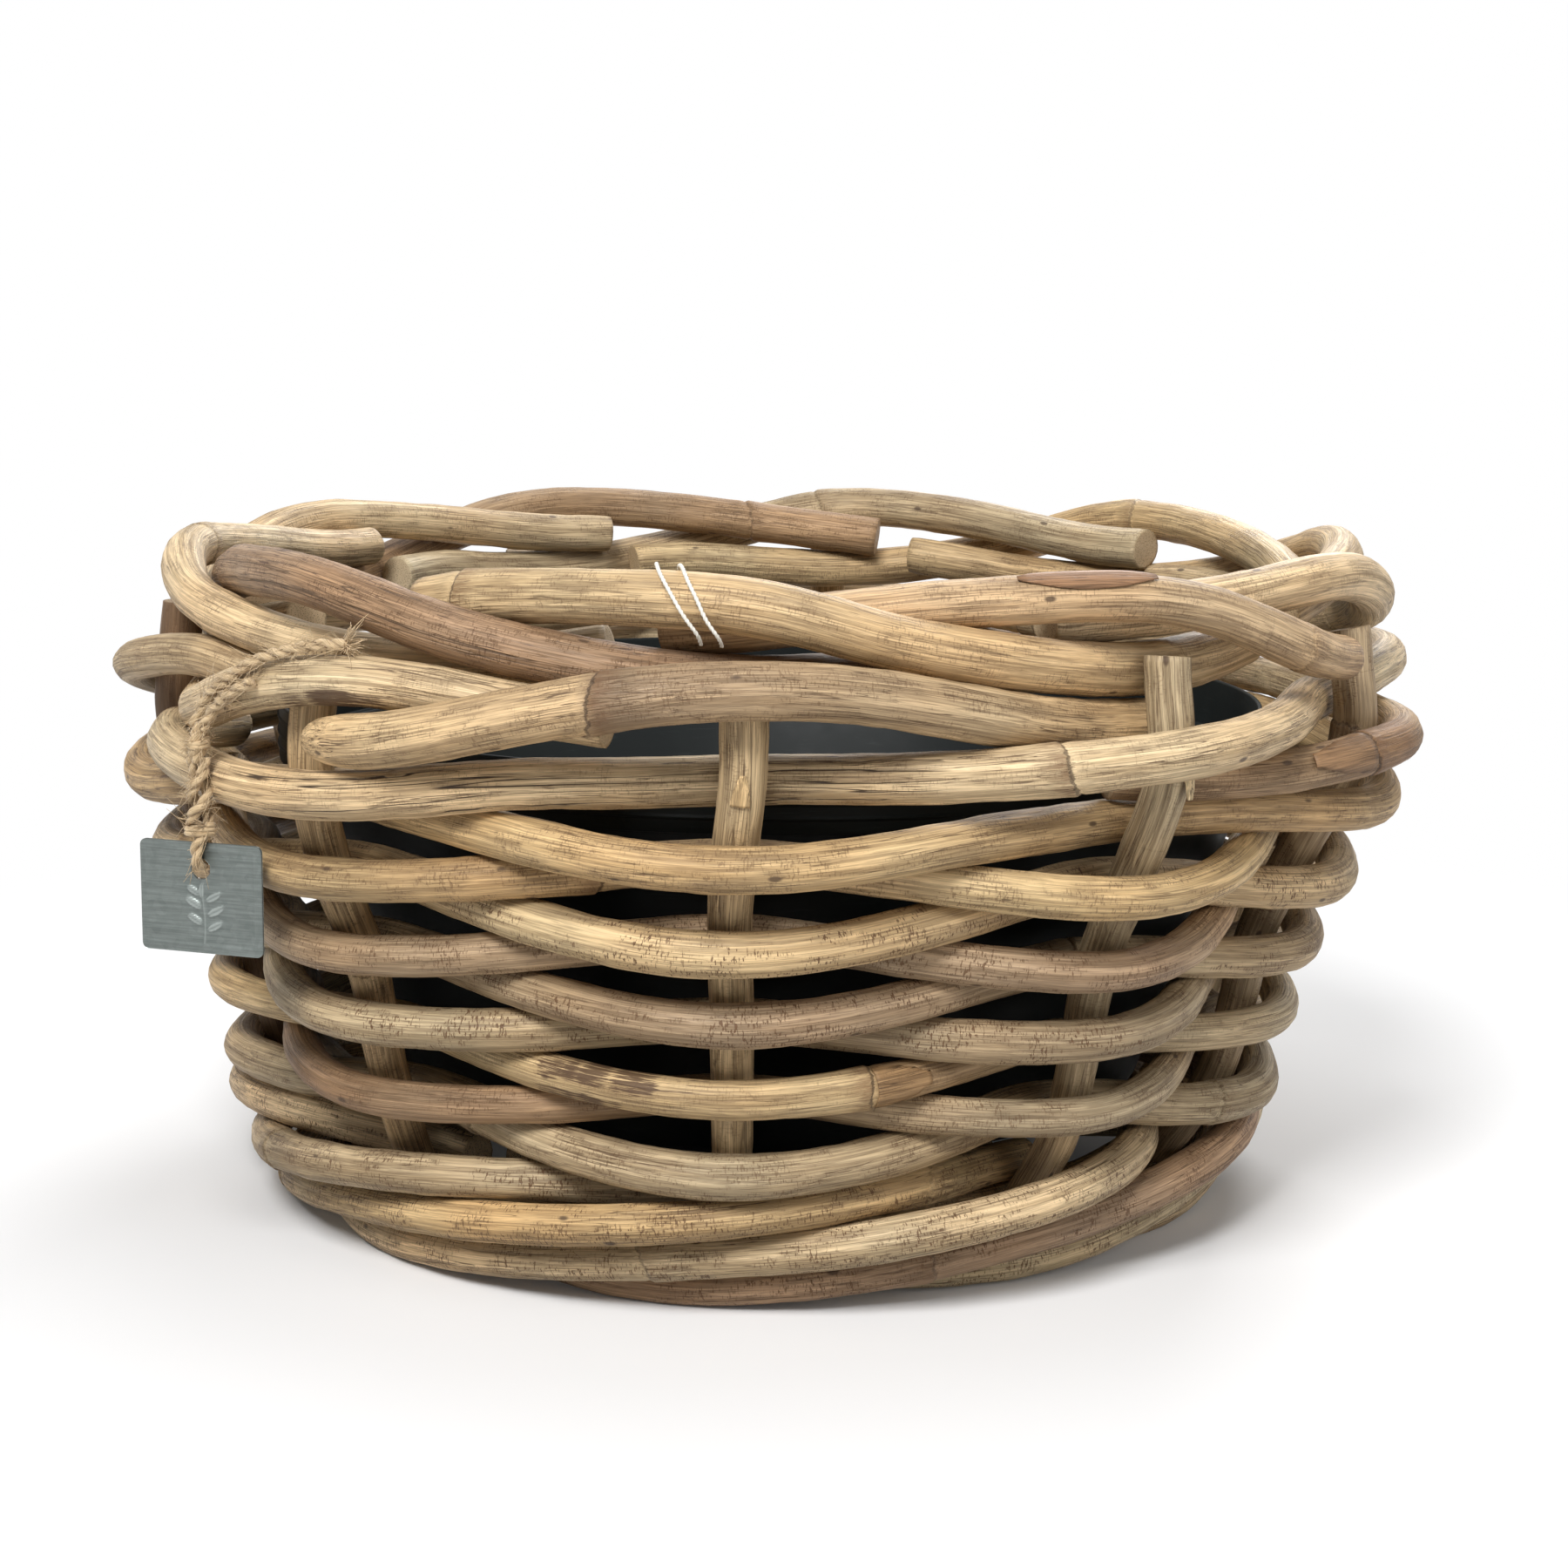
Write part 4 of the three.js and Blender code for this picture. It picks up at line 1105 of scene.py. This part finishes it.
def relief(x, y):
    """How far the pressing stands out at a place on the tag, in millimetres"""
    edge = min(tag_width / 2 - abs(x), y, tag_height - y)
    height = 0.22 * swelling(edge - 2.6, 0.55)
    if 15 < y < 35:
        height = max(height, 0.35 * swelling(x - stem(y), 0.6))
    for foot, side, size in leaves:
        dx = x - (stem(foot) + side * size * 0.62)
        dy = y - (foot - abs(side) * size * 0.42)
        a = leaf_lean * side
        along = dx * math.sin(a) - dy * math.cos(a)
        across = dx * math.cos(a) + dy * math.sin(a)
        inside = 1 - (along / (size * 0.62)) ** 2 - (across / (size * 0.24)) ** 2
        if inside > 0:
            height = max(height, 0.42 * min(1.0, inside * 2.2) - 0.16 * swelling(across, 0.3))
    return height


def build_tag():
    """The tag as two sheets of small squares, joined at its outline and round its hole"""
    step = 0.5
    half = tag_width / 2
    columns = int(round(tag_width / step))
    rows = int(round(tag_height / step))
    verts, faces, raised, index = [], [], [], {}

    def fit(x, y):
        """Pulls a grid place near the outline or the hole onto it"""
        cx = max(-half + tag_corner, min(half - tag_corner, x))
        cy = max(tag_corner, min(tag_height - tag_corner, y))
        d = math.hypot(x - cx, y - cy)
        if d > tag_corner:
            x, y = cx + (x - cx) * tag_corner / d, cy + (y - cy) * tag_corner / d
        r = math.hypot(x, y - hole_drop)
        if 1e-6 < r < hole_radius + 0.02:
            x, y = x * hole_radius / r, hole_drop + (y - hole_drop) * hole_radius / r
        return x, y

    for face_side, pressed in ((1, 1.5), (-1, 0.8)):
        for i in range(columns + 1):
            for j in range(rows + 1):
                x, y = fit(-half + i * step, j * step)
                hole_edge = abs(math.hypot(x, y - hole_drop) - hole_radius)
                edge = min(half - abs(x), y, tag_height - y, hole_edge)
                soft = 0.18 * math.exp(-edge / 0.25)
                height = relief(x, y)
                index[face_side, i, j] = len(verts)
                verts.append(tag_place(x, y, face_side * (tag_thickness / 2 - soft) + height * pressed))
                raised.append(height)

    def solid(i, j):
        """Whether a square is there: within the outline and outside the hole"""
        x, y = -half + (i + 0.5) * step, (j + 0.5) * step
        return 0 <= i < columns and 0 <= j < rows and math.hypot(x, y - hole_drop) > hole_radius

    for i in range(columns):
        for j in range(rows):
            if not solid(i, j):
                continue
            corners = ((i, j), (i + 1, j), (i + 1, j + 1), (i, j + 1))
            faces.append(tuple(index[1, *c] for c in corners[::-1]))
            faces.append(tuple(index[-1, *c] for c in corners))
            for di, dj, a, b in ((-1, 0, 0, 3), (1, 0, 2, 1), (0, -1, 1, 0), (0, 1, 3, 2)):
                if not solid(i + di, j + dj):
                    a, b = corners[a], corners[b]
                    faces.append((index[1, *a], index[1, *b], index[-1, *b], index[-1, *a]))
    obj = add_object("tag_pressed", verts, faces, "tag", tag_material(), ("tag_plate",), "tag_metal")
    # raised is the relief height, which the tag's material turns into a painted highlight
    set_attributes(obj, raised=raised)
    return obj


tag = build_tag()


# Floor, light and background

def seen_plainly(tree):
    """1 for the camera's rays and for those that gloss or clear things send on"""
    seen, gloss, clear = (add_node(tree, "LightPath", {}, f"Is {kind} Ray")
                          for kind in ("Camera", "Glossy", "Transmission"))
    for other in (gloss, clear):
        seen = add_node(tree, "Math", {0: seen, 1: other}, operation="MAXIMUM")
    return seen


def floor_material():
    """White floor that takes the planter's shadow and is plain white further out"""
    lit, seen_as = (0.42, 0.41, 0.40), (0.88, 0.88, 0.885)
    m = Shader("floor_white")
    m.color = m.mix(seen_plainly(m.tree), lit, seen_as)
    material = m.finished(rough=0.7, specular=0.1)
    put(m.surface.inputs["Emission Color"], (1, 1, 1))
    put(m.surface.inputs["Emission Strength"], 0.02)
    glow = m.node("Emission", {"Strength": 1.0})
    x, y, _ = m.split(m.place())
    far = m.math("SQRT", m.plus(m.times(x, x), m.times(y, y)))
    share = {0: m.between(far, 0.32, 0.75), 1: m.surface.outputs["BSDF"], 2: glow}
    put(m.output.inputs["Surface"], m.node("MixShader", share))
    return material


floor_reach, floor_drop = 30.0, -0.5 * MM
floor_signs = ((-1, -1), (1, -1), (1, 1), (-1, 1))
floor_corners = [(x * floor_reach, y * floor_reach, floor_drop) for x, y in floor_signs]
floor_mesh = bpy.data.meshes.new("floor")
floor_mesh.from_pydata(floor_corners, [], [(0, 1, 2, 3)])
floor_mesh.materials.append(floor_material())
floor = bpy.data.objects.new("floor", floor_mesh)
bpy.context.scene.collection.objects.link(floor)


def area_light(name, place, target, size, power):
    data = bpy.data.lights.new(name, "AREA")
    data.shape = "DISK"
    data.size = size
    data.energy = power
    light = bpy.data.objects.new(name, data)
    bpy.context.scene.collection.objects.link(light)
    light.location = place
    light.rotation_euler = (Vector(target) - Vector(place)).to_track_quat("-Z", "Y").to_euler()


area_light("key", (-0.5, -1.5, 1.7), (0, 0, 0.1), 0.9, 50)
area_light("top", (0.2, 0.3, 2.2), (0, 0, 0.1), 1.4, 8)
area_light("back", (0.6, 1.7, 1.5), (0, 0, 0.1), 1.2, 30)
area_light("fill", (1.6, -1.2, 1.0), (0, 0, 0.12), 1.2, 8)


def studio_world(strength):
    """Soft even light; the background that the camera, gloss and clear things see is white"""
    world = bpy.data.worlds.new("studio")
    world.use_nodes = True
    tree = world.node_tree
    tree.nodes.clear()
    lit, plain = (add_node(tree, "Background", {"Color": (1, 1, 1), "Strength": level})
                  for level in (strength, 1.0))
    share = add_node(tree, "MixShader", {0: seen_plainly(tree), 1: lit, 2: plain})
    put(tree.nodes.new("ShaderNodeOutputWorld").inputs[0], share)
    bpy.context.scene.world = world


studio_world(0.15)

bpy.context.scene.view_settings.view_transform = "Standard"
